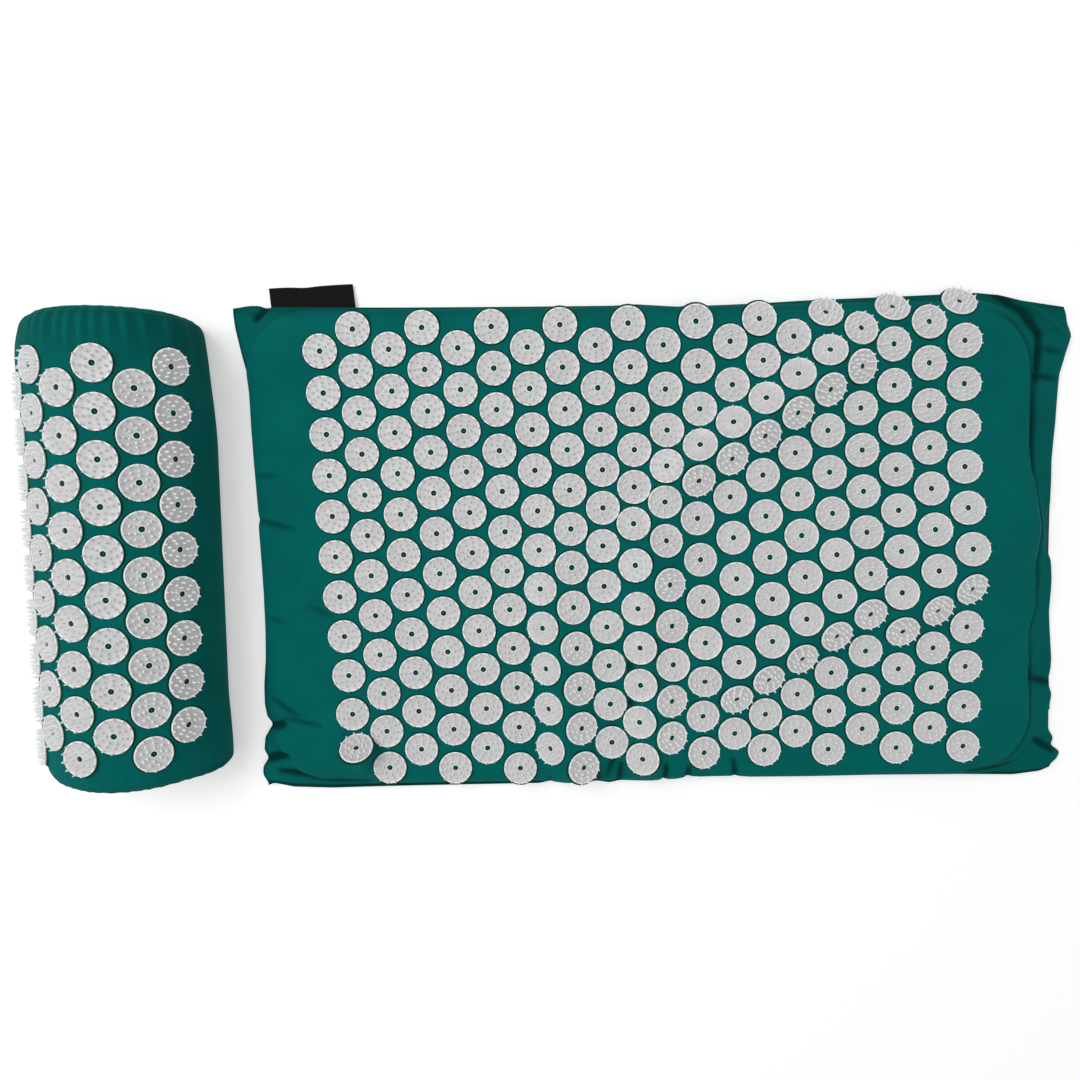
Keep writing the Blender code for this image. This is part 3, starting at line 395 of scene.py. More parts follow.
def circle(steps, radius, height, middle=(0.0, 0.0), start=0.0):
    turn = start + np.arange(steps) * math.tau / steps
    x, y = middle[0] + radius * np.cos(turn), middle[1] + radius * np.sin(turn)
    return np.stack([x, y, np.full(steps, height)], axis=1)


def grey(level):
    return np.stack([level, level, level, np.ones_like(level)], axis=1)


def make_object(name, points, faces, material, uv=None, tone=None):
    """A smooth mesh object. uv holds flat cloth places, and tone holds colour data at each point."""
    mesh = bpy.data.meshes.new(name)
    faces = faces if isinstance(faces, list) else faces.tolist()
    mesh.from_pydata(np.asarray(points, float).tolist(), [], faces)
    mesh.shade_smooth()
    if uv is not None:
        corners = np.zeros(len(mesh.loops), int)
        mesh.loops.foreach_get("vertex_index", corners)
        layer = mesh.uv_layers.new(name="cloth")
        layer.uv.foreach_set("vector", np.asarray(uv, np.float32)[corners].ravel())
    if tone is not None:
        layer = mesh.color_attributes.new("tone", "FLOAT_COLOR", "POINT")
        layer.data.foreach_set("color", np.asarray(tone, np.float32).ravel())
    mesh.materials.append(material)
    obj = bpy.data.objects.new(name, mesh)
    bpy.context.scene.collection.objects.link(obj)
    return obj


def thicken(obj, thickness):
    """Gives an open sheet its cloth thickness, on the side away from its normals."""
    solid = obj.modifiers.new("thickness", "SOLIDIFY")
    solid.thickness = thickness
    solid.offset = -1.0


def weld(obj, name):
    joined = obj.modifiers.new(name, "WELD")
    joined.merge_threshold = WELD_REACH


# The mat's surface


def skewed(x, y):
    return x - MAT_SKEW_SHARES[0] * y, y - MAT_SKEW_SHARES[1] * x


def end_line(y):
    share = 2 * y / MAT_WIDTH
    return MAT_LENGTH / 2 - END_DRAW_IN * np.clip(1.0 - share * share, 0.0, None)


def side_line(x):
    share = 2 * x / MAT_LENGTH
    full = MAT_WIDTH / 2 * (1.0 - MAT_TAPER_SHARE * share)
    return full - SIDE_DRAW_IN * np.clip(1.0 - share * share, 0.0, None)


def foam_depth(x, y):
    """The distance inward from the foam's rounded outline, negative outside it."""
    right = FOAM_RIGHT + edge_table(y, FOAM_LINE_SHIFT)
    middle = (right - FOAM_LEFT) / 2
    past_x = np.abs(x - middle) - ((right + FOAM_LEFT) / 2 - FOAM_CORNER)
    past_y = np.abs(y) - (FOAM_WIDTH / 2 - FOAM_CORNER)
    outside = np.hypot(np.maximum(past_x, 0.0), np.maximum(past_y, 0.0))
    return FOAM_CORNER - outside - np.minimum(np.maximum(past_x, past_y), 0.0)


def edge_share(x, y):
    """The cover's rise from its seam to its full height.

    Along three sides it is one soft roll. At the mouth a slack ramp leads up to the foam's edge.
    """
    depth = foam_depth(x, y)
    puffed = rounded((depth + EDGE_SLACK) / (EDGE_ROUND + EDGE_SLACK))
    ramp = np.clip(1.0 + depth / MOUTH_SLACK, 0.0, 1.0)
    slack = MOUTH_FOOT_SHARE * ramp + (1.0 - MOUTH_FOOT_SHARE) * rounded(depth / EDGE_ROUND)
    at_mouth = smooth((x - HINGE_X + MOUTH_BLEND[0]) / MOUTH_BLEND[1])
    at_mouth = at_mouth * smooth((FOAM_WIDTH / 2 - np.abs(y)) / MOUTH_SIDE_BLEND)
    return puffed + at_mouth * (slack - puffed)


def from_line(x, y, first, last):
    """A line's direction and length, and for each place its share along it and distance across it."""
    along = last - first
    length = np.hypot(*along)
    share = ((x - first[0]) * along[0] + (y - first[1]) * along[1]) / length**2
    across = ((x - first[0]) * along[1] - (y - first[1]) * along[0]) / length
    return along / length, length, share, across


def past_ends(share, length):
    return np.maximum(0.0, np.maximum(-share, share - 1.0)) * length


def crease_places(x, y):
    """For each crease: its direction, the share along it, and the place across it."""
    size = np.array((MAT_LENGTH, MAT_WIDTH))
    for start, end, height_share, front_share, back_share, slack_share, fall in CREASE_SHARES:
        along, length, share, across = from_line(x, y, start * size, end * size)
        reach = np.where(across > 0.0, CREASE_FRONT * front_share, CREASE_BACK * back_share)
        yield along, length, share, across / reach, height_share, slack_share, fall


def crease_height(x, y):
    """The height that the pressed creases add: each has a steep front and a long back."""
    highest = np.zeros_like(x)
    for _, _, share, across, height_share, _, fall in crease_places(x, y):
        fade = smooth(share / CREASE_FADE_SHARE) * smooth((1.0 - share) / CREASE_FADE_SHARE)
        rise = 1.0 + CREST_ROUND_SHARE / 2 - np.hypot(across, CREST_ROUND_SHARE)
        rise = (rise + np.hypot(rise, FOOT_ROUND_SHARE)) / 2 - FOOT_ROUND_SHARE / 8
        rise = np.where(across > 0.0, rise, np.maximum(rise, 0.0) ** fall)
        highest = np.maximum(highest, CREASE_HEIGHT * height_share * fade * np.maximum(rise, 0.0))
    return highest


def crease_pull(x, y):
    """Each crease takes up slack, which draws the cloth on both its sides towards it."""
    move_x = np.zeros_like(x)
    move_y = np.zeros_like(x)
    for along, length, share, across, _, slack_share, _ in crease_places(x, y):
        slack = CREASE_SLACK * slack_share * np.exp(-past_ends(share, length) / CREASE_REACH)
        pull = slack / 2 * np.clip(across, -1.0, 1.0)
        move_x -= along[1] * pull
        move_y += along[0] * pull
    return move_x, move_y


def fold_height(x, y):
    """The small folds: each is a soft ridge or groove that fades at its two ends."""
    total = np.zeros_like(x)
    for *ends, height, width in MAT_FOLDS:
        first, last = np.array(ends).reshape(2, 2) * MM
        _, length, share, across = from_line(x, y, first, last)
        distance = np.hypot(across, past_ends(share, length))
        fade = 0.4 + 0.6 * smooth(1.0 - np.abs(share - 0.5) * 1.4)
        total += height * MM * bell(distance, FOLD_WIDTH_SHARE * width * MM) * fade
    return total


def mat_height(x, y, hold=0.0):
    """The cover's height. hold keeps the height up past the foam's edge, as under a stiff disc."""
    share = hold + (1.0 - hold) * edge_share(x, y)
    return SEAM_TOP + share * (MAT_TOP - SEAM_TOP + crease_height(x, y))


def drifted(x, y):
    """Carries places on the even field to where the stretched cloth holds them."""
    move_x = np.zeros_like(x)
    move_y = np.zeros_like(y)
    for place, reach, move in FIELD_DRIFT_SHARES:
        away = np.hypot(x - place[0] * MAT_LENGTH, y - place[1] * MAT_LENGTH)
        strength = MAT_LENGTH * bell(away, reach * MAT_LENGTH)
        move_x += move[0] * strength
        move_y += move[1] * strength
    return x + move_x, y + move_y


def mat_discs():
    """Column, centre and plane of each disc on the mat: height and slopes along x and y."""
    column, half_row = np.meshgrid(np.arange(COLUMNS), np.arange(HALF_ROWS), indexing="ij")
    keep = (column + half_row) % 2 == 1
    column, half_row = column[keep], half_row[keep]
    across = COLUMN_SPACING * (column - (COLUMNS - 1) / 2)
    along = DISC_PITCH / 2 * ((HALF_ROWS - 1) / 2 - half_row)
    x = FIELD_SHIFT_X + across + COLUMN_LEAN_SHARE * along
    y = FIELD_SHIFT_Y + along + ROW_CLIMB_SHARE * across
    x, y = drifted(x, y)
    move_x, move_y = crease_pull(x, y)
    x, y = x + move_x, y + move_y
    sample = np.concatenate([
        circle(DISC_SAMPLE_STEPS, share * DISC_DIAMETER / 2, 0.0) for share in DISC_SAMPLE_SHARES
    ])
    dx, dy, _ = sample.T
    hold = DISC_HOLD - DISC_HOLD_LOSS * smooth((x - 0.050) / 0.100) * (y > 0.0)
    under = mat_height(x[:, None] + dx, y[:, None] + dy, hold=hold[:, None])
    height = under.mean(axis=1)
    slope_x = (under * dx).sum(axis=1) / (dx * dx).sum()
    slope_y = (under * dy).sum(axis=1) / (dy * dy).sum()
    standing = (column == STANDING_DISC[0]) & (half_row == STANDING_DISC[1])
    slope_x[standing], slope_y[standing] = STANDING_SLOPES
    height[standing] += STANDING_LIFT
    x[standing] += STANDING_SHIFT[0]
    y[standing] += STANDING_SHIFT[1]
    return column, x, y, height, slope_x, slope_y, standing


def seat_discs(x, y, height, discs):
    """Presses the cloth flat under each disc, and lets it rise and fall freely between them."""
    _, disc_x, disc_y, disc_z, slope_x, slope_y, standing = discs
    total = np.zeros_like(x)
    pressed = np.zeros_like(x)
    strongest = np.zeros_like(x)
    reach = DISC_DIAMETER / 2 + DISC_SEAT_FALL
    for i in range(len(disc_x)):
        if standing[i]:
            dx, dy = x - disc_x[i], y - disc_y[i]
            away = np.hypot(dx, dy - STANDING_PINCH_SHIFT) / STANDING_PINCH
            pinched = height + 1.6 * STANDING_LIFT * np.exp(-away * away)
            under = disc_z[i] + slope_x[i] * dx + slope_y[i] * dy - 0.6 * MM
            covered = np.hypot(dx, dy) < DISC_DIAMETER / 2 + 2.0 * MM
            height = np.where(covered, np.maximum(np.minimum(pinched, under), height), pinched)
            continue
        near = (np.abs(x - disc_x[i]) < reach) & (np.abs(y - disc_y[i]) < reach)
        dx, dy = x[near] - disc_x[i], y[near] - disc_y[i]
        away = np.hypot(dx, dy) - DISC_DIAMETER / 2
        weight = 1.0 - smooth(away / DISC_SEAT_FALL)
        total[near] += weight
        pressed[near] += weight * (disc_z[i] + slope_x[i] * dx + slope_y[i] * dy)
        strongest[near] = np.maximum(strongest[near], weight)
    free = 1.0 - strongest
    return (free * height + pressed) / (free + total)


def cover_outline(s, t, lower=False):
    """A place on the cover for shares s and t from -1 to 1, with its wavy edges."""
    x = s * MAT_LENGTH / 2
    y = t * MAT_WIDTH / 2
    near_end = np.abs(s) ** OUTLINE_SHARPNESS
    near_side = np.abs(t) ** OUTLINE_SHARPNESS
    right = end_line(y) + edge_table(y, RIGHT_EDGE) * (LOWER_RIGHT_SHARE if lower else 1.0)
    left = end_line(y) + edge_table(y, LEFT_EDGE)
    far = side_line(x) + edge_table(x, TOP_EDGE)
    close = side_line(x) + edge_table(x, BOTTOM_EDGE)
    reach_x = np.where(s > 0.0, right, left) - MAT_LENGTH / 2
    reach_y = np.where(t > 0.0, far, close) - MAT_WIDTH / 2
    return x + np.sign(s) * reach_x * near_end, y + np.sign(t) * reach_y * near_side


def shade_line(distance, strength, place, width):
    return strength * bell(distance, width * MM, place * MM)


def cover_shadow(x, y, s, t, rim_x, rim_y, folds):
    """Painted shade: how dark the cloth is painted in its grooves, along the foam's edge and at its
    rolled hems.
    """
    depth = foam_depth(x, y)
    at_mouth = smooth((x - 0.26) / 0.03)
    clear = 1.0
    for share in (
        GROOVE_SHADE * np.clip(-folds / FOLD_FULL_DARK, 0.0, 1.0) ** 0.8,
        shade_line(depth, *FOAM_LINE_SHADE) * at_mouth,
        MARGIN_SHADE * smooth(-depth / (6 * MM)) * at_mouth,
        shade_line(rim_y, *NEAR_HEM_SHADE) * (t < 0.0),
        shade_line(rim_y, *FAR_HEM_SHADE) * (t > 0.0),
        shade_line(rim_x, *LEFT_HEM_SHADE) * (s < 0.0),
    ):
        clear = clear * (1.0 - share)
    return grey(1.0 - clear)


def add_cover_upper(discs, material):
    columns, rows = MAT_STEPS
    s, t = grid(crowded(columns), crowded(rows))
    x, y = cover_outline(s, t)
    rim_x, rim_y = (1.0 - np.abs(s)) * MAT_LENGTH / 2, (1.0 - np.abs(t)) * MAT_WIDTH / 2
    rim = np.minimum(rim_x, rim_y)
    outside = smooth(1.0 - edge_share(x, y))
    hem = bell(rim_y, HEM_LINE[1], HEM_LINE[0])
    folds = FOLD_GAIN * fold_height(x, y)
    z = mat_height(x, y) + folds + outside * (
        MARGIN_PUFF * smooth(rim / PUFF_RISE) - HEM_DEPTH * hem
    )
    z = seat_discs(x, y, z, discs)
    z = SEAM_TOP + (z - SEAM_TOP) * rounded(rim / SEAM_CLOSING)
    tone = cover_shadow(x, y, s, t, rim_x, rim_y, folds)
    waves, drift = FLAP_RIPPLE_WAVES
    ripple = np.sin(y * waves + 2.0 * np.sin(y * drift)) * smooth((x - HINGE_X + 0.002) / 0.02)
    z = z + FLAP_RIPPLE * ripple
    z = np.maximum(z, SEAM_TOP - HEM_TURN * (np.maximum(np.abs(s), np.abs(t)) > RIM))
    points = np.stack([*skewed(x, y), z], axis=1)
    uv = np.stack([x, y], axis=1)
    faces = grid_faces(columns, rows)
    obj = make_object("mat_cover_upper", points, faces, material, uv=uv, tone=tone)
    thicken(obj, CLOTH)
    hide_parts("mat_cover_top", "mat_mouth_flap")
    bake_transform(obj)


def add_cover_lower(material):
    s, t = even_grid(LOWER_STEPS)
    x, y = cover_outline(s, t, lower=True)
    inward_x = np.where(s > 0.0, 1.0, (MAT_LENGTH / 2 - np.abs(x)) / LOWER_RISE[0])
    inward = np.minimum(inward_x, (MAT_WIDTH / 2 - np.abs(y)) / LOWER_RISE[1])
    lift = (1.0 - smooth(inward)) * SEAM_UNDERSIDE
    x = x - np.sign(x) * LOWER_INSET * (np.abs(s) > RIM)
    y = y - np.sign(y) * LOWER_INSET * (np.abs(t) > RIM)
    points = np.stack([*skewed(x, y), lift + CLOTH], axis=1)
    uv = np.stack([x, y], axis=1)
    obj = make_object("mat_cover_lower", points, grid_faces(*LOWER_STEPS), material, uv=uv)
    thicken(obj, CLOTH)
    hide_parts("mat_cover_bottom")
    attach(obj, "mat")


def add_mat_foam(discs, material):
    """The foam slab: a closed block with rounded corners, pressed by the same creases and discs."""
    columns, rows = FOAM_STEPS
    s, t = even_grid(FOAM_STEPS)
    half_width = FOAM_WIDTH / 2
    y = t * half_width
    past = np.maximum(np.abs(y) - (half_width - FOAM_CORNER), 0.0)
    inset = FOAM_CORNER - np.sqrt(np.maximum(FOAM_CORNER**2 - past**2, 0.0))
    right = FOAM_RIGHT + np.minimum(edge_table(y, FOAM_LINE_SHIFT), 0.0) - inset
    left = FOAM_LEFT - inset
    middle = (right - left) / 2
    x = middle + s * (right + left) / 2
    free = mat_height(x, y)
    z = np.minimum(seat_discs(x, y, free, discs), free)
    z = z + FOLD_GAIN * np.minimum(fold_height(x, y), 0.0)
    z = z - FOAM_EDGE_CLEARANCE * smooth(1.0 - foam_depth(x, y) / EDGE_ROUND)
    edge = np.maximum(np.abs(s), np.abs(t)) > RIM
    z = np.where(edge, CLOTH + FOAM_EDGE_HEIGHT, z - CLOTH - 3 * GAP)
    upper = np.stack([*skewed(x, y), np.maximum(z, CLOTH + 2 * GAP + MM)], axis=1)
    lower = upper.copy()
    lower[:, 2] = CLOTH + GAP
    count = len(upper)
    faces = grid_faces(columns, rows)
    rim = np.concatenate([
        np.arange(columns - 1),
        (np.arange(rows - 1) + 1) * columns - 1,
        count - 1 - np.arange(columns - 1),
        count - columns - np.arange(rows - 1) * columns,
    ])
    after = np.roll(rim, -1)
    walls = np.stack([rim, rim + count, after + count, after], axis=1)[:, ::-1]
    faces = np.concatenate([faces, faces[:, ::-1] + count, walls])
    obj = make_object("mat_foam", np.concatenate([upper, lower]), faces, material)
    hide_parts("mat_foam_core")
    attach(obj, "mat")


# The discs


def disc_unit():
    """Points, faces and tones of one disc, with its underside's centre at the origin."""
    points = [circle(PLATE_STEPS, radius, height) for radius, height, _ in PLATE_PROFILE]
    tones = [np.full(PLATE_STEPS, float(highlight_tone)) for *_, highlight_tone in PLATE_PROFILE]
    quads = [ring_faces(PLATE_STEPS, len(PLATE_PROFILE), closed=True)]
    others = []
    base = PLATE_STEPS * len(PLATE_PROFILE)
    for count, place, phase in STUD_RINGS:
        for stud in range(count):
            angle = (stud + phase) * math.tau / count
            middle = (place * math.cos(angle), place * math.sin(angle))
            for radius, height in STUD_PROFILE:
                points.append(circle(STUD_SIDES, radius, height, middle, angle))
            points.append([(*middle, STUD_TIP)])
            quads.append(base + ring_faces(STUD_SIDES, len(STUD_PROFILE)))
            tip = base + STUD_SIDES * len(STUD_PROFILE)
            top = tip - STUD_SIDES
            others += [[top + i, top + (i + 1) % STUD_SIDES, tip] for i in range(STUD_SIDES)]
            others.append(list(range(base + STUD_SIDES - 1, base - 1, -1)))
            tones.append(np.full(tip + 1 - base, STUD_TONE))
            base = tip + 1
    faces = np.concatenate(quads).tolist() + others
    return np.concatenate(points) * MM, faces, np.concatenate(tones)


def disc_frame(normal, ahead):
    """The unit directions ahead and aside in a disc's plane, and its normal."""
    normal = np.array(normal) / np.linalg.norm(normal)
    ahead = ahead - normal * np.dot(ahead, normal)
    ahead = ahead / np.linalg.norm(ahead)
    return np.stack([ahead, np.cross(normal, ahead), normal])


def add_discs(name, node, body, places, material, rng):
    """One piece for a line of discs. places holds each disc's centre, normal and first direction."""
    unit, unit_faces, unit_tones = disc_unit()
    points, tones, faces = [], [], []
    for centre, normal, ahead in places:
        ahead, aside, normal = disc_frame(normal, ahead)
        spin = rng.uniform(0.0, math.tau)
        first = ahead * math.cos(spin) + aside * math.sin(spin)
        basis = np.stack([first, np.cross(normal, first), normal])
        start = len(points) * len(unit)
        points.append(np.array(centre) + normal * GAP / 2 + unit @ basis)
        shade = np.full(len(unit), rng.uniform(0.0, 1.0))
        tones.append(np.stack([unit_tones, shade, np.zeros_like(shade), np.ones_like(shade)], axis=1))
        faces += [[index + start for index in face] for face in unit_faces]
    obj = make_object(name, np.concatenate(points), faces, material, tone=np.concatenate(tones))
    obj.data.set_sharp_from_angle(angle=math.radians(42))
    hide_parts(node)
    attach(obj, body)


def add_mat_discs(discs, material, rng):
    column, x, y, height, slope_x, slope_y, _ = discs
    every = []
    for c in range(COLUMNS):
        places = []
        for i in np.flatnonzero(column == c):
            centre = (*skewed(x[i], y[i]), height[i])
            places.append((centre, (-slope_x[i], -slope_y[i], 1.0), np.array((0.0, 1.0, 0.0))))
        name, node = f"mat_disc_column_{c + 1:02d}", f"mat_discs_{c + 1:02d}"
        add_discs(name, node, "mat", places, material, rng)
        every += places
    return every


def add_press_marks(name, body, places, material):
    """What a disc leaves on the cloth: a pressed ring round it, and a knob held in its hole, with
    painted contact shadow at the rim and in the hole.
    """
    rings = PRESS_RING + PRESS_KNOB
    unit = np.concatenate([circle(PLATE_STEPS, radius, height) for radius, height, _ in rings])
    tones = np.repeat([tone for *_, tone in rings], PLATE_STEPS)
    band = ring_faces(PLATE_STEPS, len(PRESS_RING))
    knob = ring_faces(PLATE_STEPS, len(PRESS_KNOB)) + len(PRESS_RING) * PLATE_STEPS
    top = list(range(len(unit) - PLATE_STEPS, len(unit)))
    points, faces = [], []
    for centre, normal, ahead in places:
        start = len(points) * len(unit)
        points.append(np.array(centre) + unit * MM @ disc_frame(normal, ahead))
        faces += [[index + start for index in face] for face in [*band.tolist(), *knob.tolist(), top]]
    tone = grey(np.tile(tones, len(points)))
    obj = make_object(name, np.concatenate(points), faces, material, tone=tone)
    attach(obj, body)


# The pillow


def turned(points):
    """Turns points or directions from the pillow's own frame, which has its length along Y."""
    x, y, z = np.asarray(points, float).T
    c, s = math.cos(PILLOW_TURN), math.sin(PILLOW_TURN)
    return np.stack([x * c - y * s, x * s + y * c, z], axis=-1)


def pillow_to_world(points):
    return turned(points) + np.array((*PILLOW_PLACE, 0.0))


def pillow_section_radius(angle, y):
    """The wrap's radius at an angle from the crown: narrower and rolled over at both ends."""
    start = PILLOW_LENGTH / 2 - PILLOW_TAPER_LENGTH
    share = np.clip((np.abs(y) - start) / PILLOW_TAPER_LENGTH, 0.0, None)
    left = bell(np.degrees(angle), 28.0, -85.0)
    right = smooth((np.degrees(angle) - 50) / 35)
    near = smooth((-y - 0.12) / 0.05)
    held = np.maximum(right * (0.6 + 0.4 * near), 0.8 * near * left)
    radius = PILLOW_RADIUS * (1.0 - PILLOW_TAPER_SHARE * share * share * (1.0 - held))
    roll = np.clip((np.abs(y) - PILLOW_LENGTH / 2 + END_ROLL) / END_ROLL, 0.0, 1.0)
    radius = radius - END_ROLL_DROP * (1.0 - np.sqrt(1.0 - roll * roll)) * (1.0 - near * right)
    far = smooth((y - 0.08) / 0.09)
    flank = FLANK_DRAW + far * CORNER_DRAW - near * NEAR_BULGE
    return radius + far * CORNER_BULGE * left - flank * right


def section_points(radius, angle, y):
    """Points of the pillow's round section, at angles from the crown."""
    height = PILLOW_AXIS_HEIGHT + radius * np.cos(angle)
    return np.stack([radius * np.sin(angle), y, height], axis=1)


def gather_height(angle, y):
    """Pinched folds that run in from both ends, where the wrap is gathered into its seams."""
    total = np.zeros_like(y)
    degrees = np.degrees(angle)
    near_height, near_length = NEAR_GATHER_SHARES
    for place, height, length, width in GATHERS:
        inward = (PILLOW_LENGTH / 2 - y) / (length * MM)
        line = bell(degrees, width, place + GATHER_DRIFT * np.clip(inward, 0.0, 1.0))
        rise = 0.25 + 0.75 * smooth(inward * 4.0)
        total += height * MM * line * smooth(1.0 - inward) * rise
        inward = (PILLOW_LENGTH / 2 + y) / (near_length * length * MM)
        line = bell(degrees, width, place - NEAR_GATHER_TURN)
        total += near_height * height * MM * line * smooth(1.0 - inward)
    return total


def pillow_discs():
    """Column, centre and normal of each disc on the pillow, in the pillow's frame."""
    step = PILLOW_COLUMN_SPACING / PILLOW_RADIUS
    found = []
    for column in range(PILLOW_COLUMNS):
        angle = (column - (PILLOW_COLUMNS - 1) / 2) * step
        normal = np.array((math.sin(angle), 0.0, math.cos(angle)))
        stagger = PILLOW_STAGGER_SHARE if column % 2 else -PILLOW_STAGGER_SHARE
        for disc in range(PILLOW_DISCS):
            place = disc - (PILLOW_DISCS - 1) / 2 + stagger
            y = place * PILLOW_DISC_PITCH + PILLOW_DISC_SHIFT
            seat = normal * (PILLOW_RADIUS - PILLOW_DISC_SINK)
            found.append((column, np.array((0.0, y, PILLOW_AXIS_HEIGHT)) + seat, normal))
    return found


def angle_at_height(height):
    return math.acos((height - PILLOW_AXIS_HEIGHT) / PILLOW_RADIUS)


def pillow_wrap_points(angle, y, discs):
    """Points of the wrap, pressed flat under each disc."""
    radius = pillow_section_radius(angle, y) + gather_height(angle, y)
    points = section_points(radius, angle, y)
    for _, centre, normal in discs:
        offset = points - centre
        lift = offset @ normal
        away = np.linalg.norm(offset - lift[:, None] * normal, axis=1) - DISC_DIAMETER / 2
        weight = (1.0 - smooth(away / PILLOW_DISC_FALL)) * (np.abs(lift) < 0.02)
        points -= (weight * lift)[:, None] * normal
    return points


def add_pillow_wrap(discs, material):
    """The wrap reaches down to the zip, and past the zip's ends down to the base panel."""
    columns, rows = WRAP_STEPS
    low, high = angle_at_height(WRAP_FOOT), -angle_at_height(ZIP_CLOTH_HEIGHT)
    further = -angle_at_height(BASE_CLOTH_HEIGHT) - high
    half_zip = ZIP_LENGTH / 2
    lines = np.linspace(-0.5, 0.5, rows) * PILLOW_LENGTH
    from_zip = np.abs(lines) - half_zip
    corner = (from_zip > MM) & (from_zip < 3 * MM)
    lines = np.where(corner, np.sign(lines) * (half_zip + ZIP_CORNER), lines)
    share, y = grid(np.linspace(0.0, 1.0, columns), lines)
    reach = np.where(np.abs(y) > half_zip + ZIP_CORNER / 2, further, 0.0)
    angle = low + (high - low) * share + reach * smooth((share - 0.92) / 0.08)
    points = pillow_wrap_points(angle, y, discs).reshape(rows, columns, 3)
    folds = gather_height(angle, y)
    from_end = PILLOW_LENGTH / 2 - np.abs(y)
    # Painted shade: darker in the valleys of the pleats near the far end, and along both end seams
    pleat = PLEAT_SHADE * smooth(1.0 - from_end / PLEAT_LENGTH) * (y > 0.0)
    clear = 1.0 - pleat * (1.0 - np.clip(folds / PLEAT_CLEAR, 0.0, 1.0))
    dark = 1.0 - clear * (1.0 - 0.4 * bell(from_end, 4 * MM))
    dark = np.pad(dark.reshape(rows, columns), ((0, 0), (1, 0)), mode="edge").ravel()
    foot = points[:, :1].copy()
    foot[:, 0, 0] -= WRAP_FOOT_TURN
    foot[:, 0, 2] = CLOTH + GAP
    points = np.concatenate([foot, points], axis=1).reshape(-1, 3)
    uv_row = np.concatenate([[low + 0.06], np.linspace(low, high, columns)]) * PILLOW_RADIUS
    uv = np.stack([np.tile(uv_row, rows), np.repeat(lines, columns + 1)], axis=1)
    faces = grid_faces(columns + 1, rows)[:, ::-1]
    obj = make_object("pillow_wrap", pillow_to_world(points), faces, material, uv=uv, tone=grey(dark))
    thicken(obj, CLOTH)
    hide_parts("pillow_cover_wrap")
    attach(obj, "pillow")


def pillow_ring(y, inset, bottom):
    """A closed section of the pillow: round over the back, flat underneath."""
    low = angle_at_height(bottom + 0.004)
    angle = np.linspace(low, -low, SECTION_STEPS)
    line = np.full(SECTION_STEPS, y)
    points = section_points(pillow_section_radius(angle, line) - inset, angle, line)
    points[:, 2] = np.maximum(points[:, 2], bottom)
    across = np.linspace(
        points[-1, 0] + SECTION_CORNER, points[0, 0] - SECTION_CORNER, SECTION_FLAT_STEPS
    )
    flat = np.stack([across, np.full_like(across, y), np.full_like(across, bottom)], axis=1)
    return np.concatenate([points, flat])


def ring_cap(ring, sign, crown):
    """Rings that close a section with a soft crown, from the rim to the middle."""
    middle = ring.mean(axis=0)
    rings = []
    for step in range(1, CAP_STEPS + 1):
        share = step / CAP_STEPS
        inner = middle + (ring - middle) * math.cos(share * math.pi / 2)
        inner[:, 1] = ring[:, 1] + sign * crown * math.sin(share * math.pi / 2)
        rings.append(inner)
    return rings


def add_pillow_foam(material):
    inset = 2 * CLOTH + 2 * GAP
    lines = np.linspace(-0.5, 0.5, PILLOW_FOAM_RINGS) * (PILLOW_LENGTH - 2 * MM)
    rings = [pillow_ring(y, inset, CLOTH + 2 * GAP) for y in lines]
    crown = PILLOW_END_CROWN * FOAM_CROWN_SHARE
    near_cap, far_cap = ring_cap(rings[0], -1.0, crown)[::-1], ring_cap(rings[-1], 1.0, crown)
    rings = near_cap + rings + far_cap
    faces = ring_faces(len(rings[0]), len(rings))[:, [1, 0, 3, 2]]
    obj = make_object("pillow_foam", pillow_to_world(np.concatenate(rings)), faces, material)
    weld(obj, "closed_ends")
    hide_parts("pillow_foam_core")
    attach(obj, "pillow")


def add_pillow_ends(material):
    for name, node, sign in (
        ("pillow_end_far", "pillow_end_panel_far", 1.0),
        ("pillow_end_near", "pillow_end_panel_near", -1.0),
    ):
        rim = pillow_ring(sign * PILLOW_LENGTH / 2, CLOTH / 2, CLOTH + GAP)
        rim[:, 1] = sign * (PILLOW_LENGTH / 2 + GAP)
        rings = [rim] + ring_cap(rim, sign, PILLOW_END_CROWN)
        angle = np.arange(len(rim)) * math.tau / len(rim)
        pucker = np.sin(angle * PUCKERS + 1.3 * np.sin(angle * PUCKER_DRIFT))
        for ring, depth in zip(rings[1:], PUCKER_DEPTHS):
            ring[:, 1] += sign * pucker * depth * MM
        points = np.concatenate(rings)
        faces = ring_faces(len(rim), len(rings))
        faces = faces if sign < 0.0 else faces[:, ::-1]
        obj = make_object(name, pillow_to_world(points), faces, material, uv=points[:, [0, 2]])
        weld(obj, "closed_middle")
        thicken(obj, CLOTH)
        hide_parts(node)
        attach(obj, "pillow")


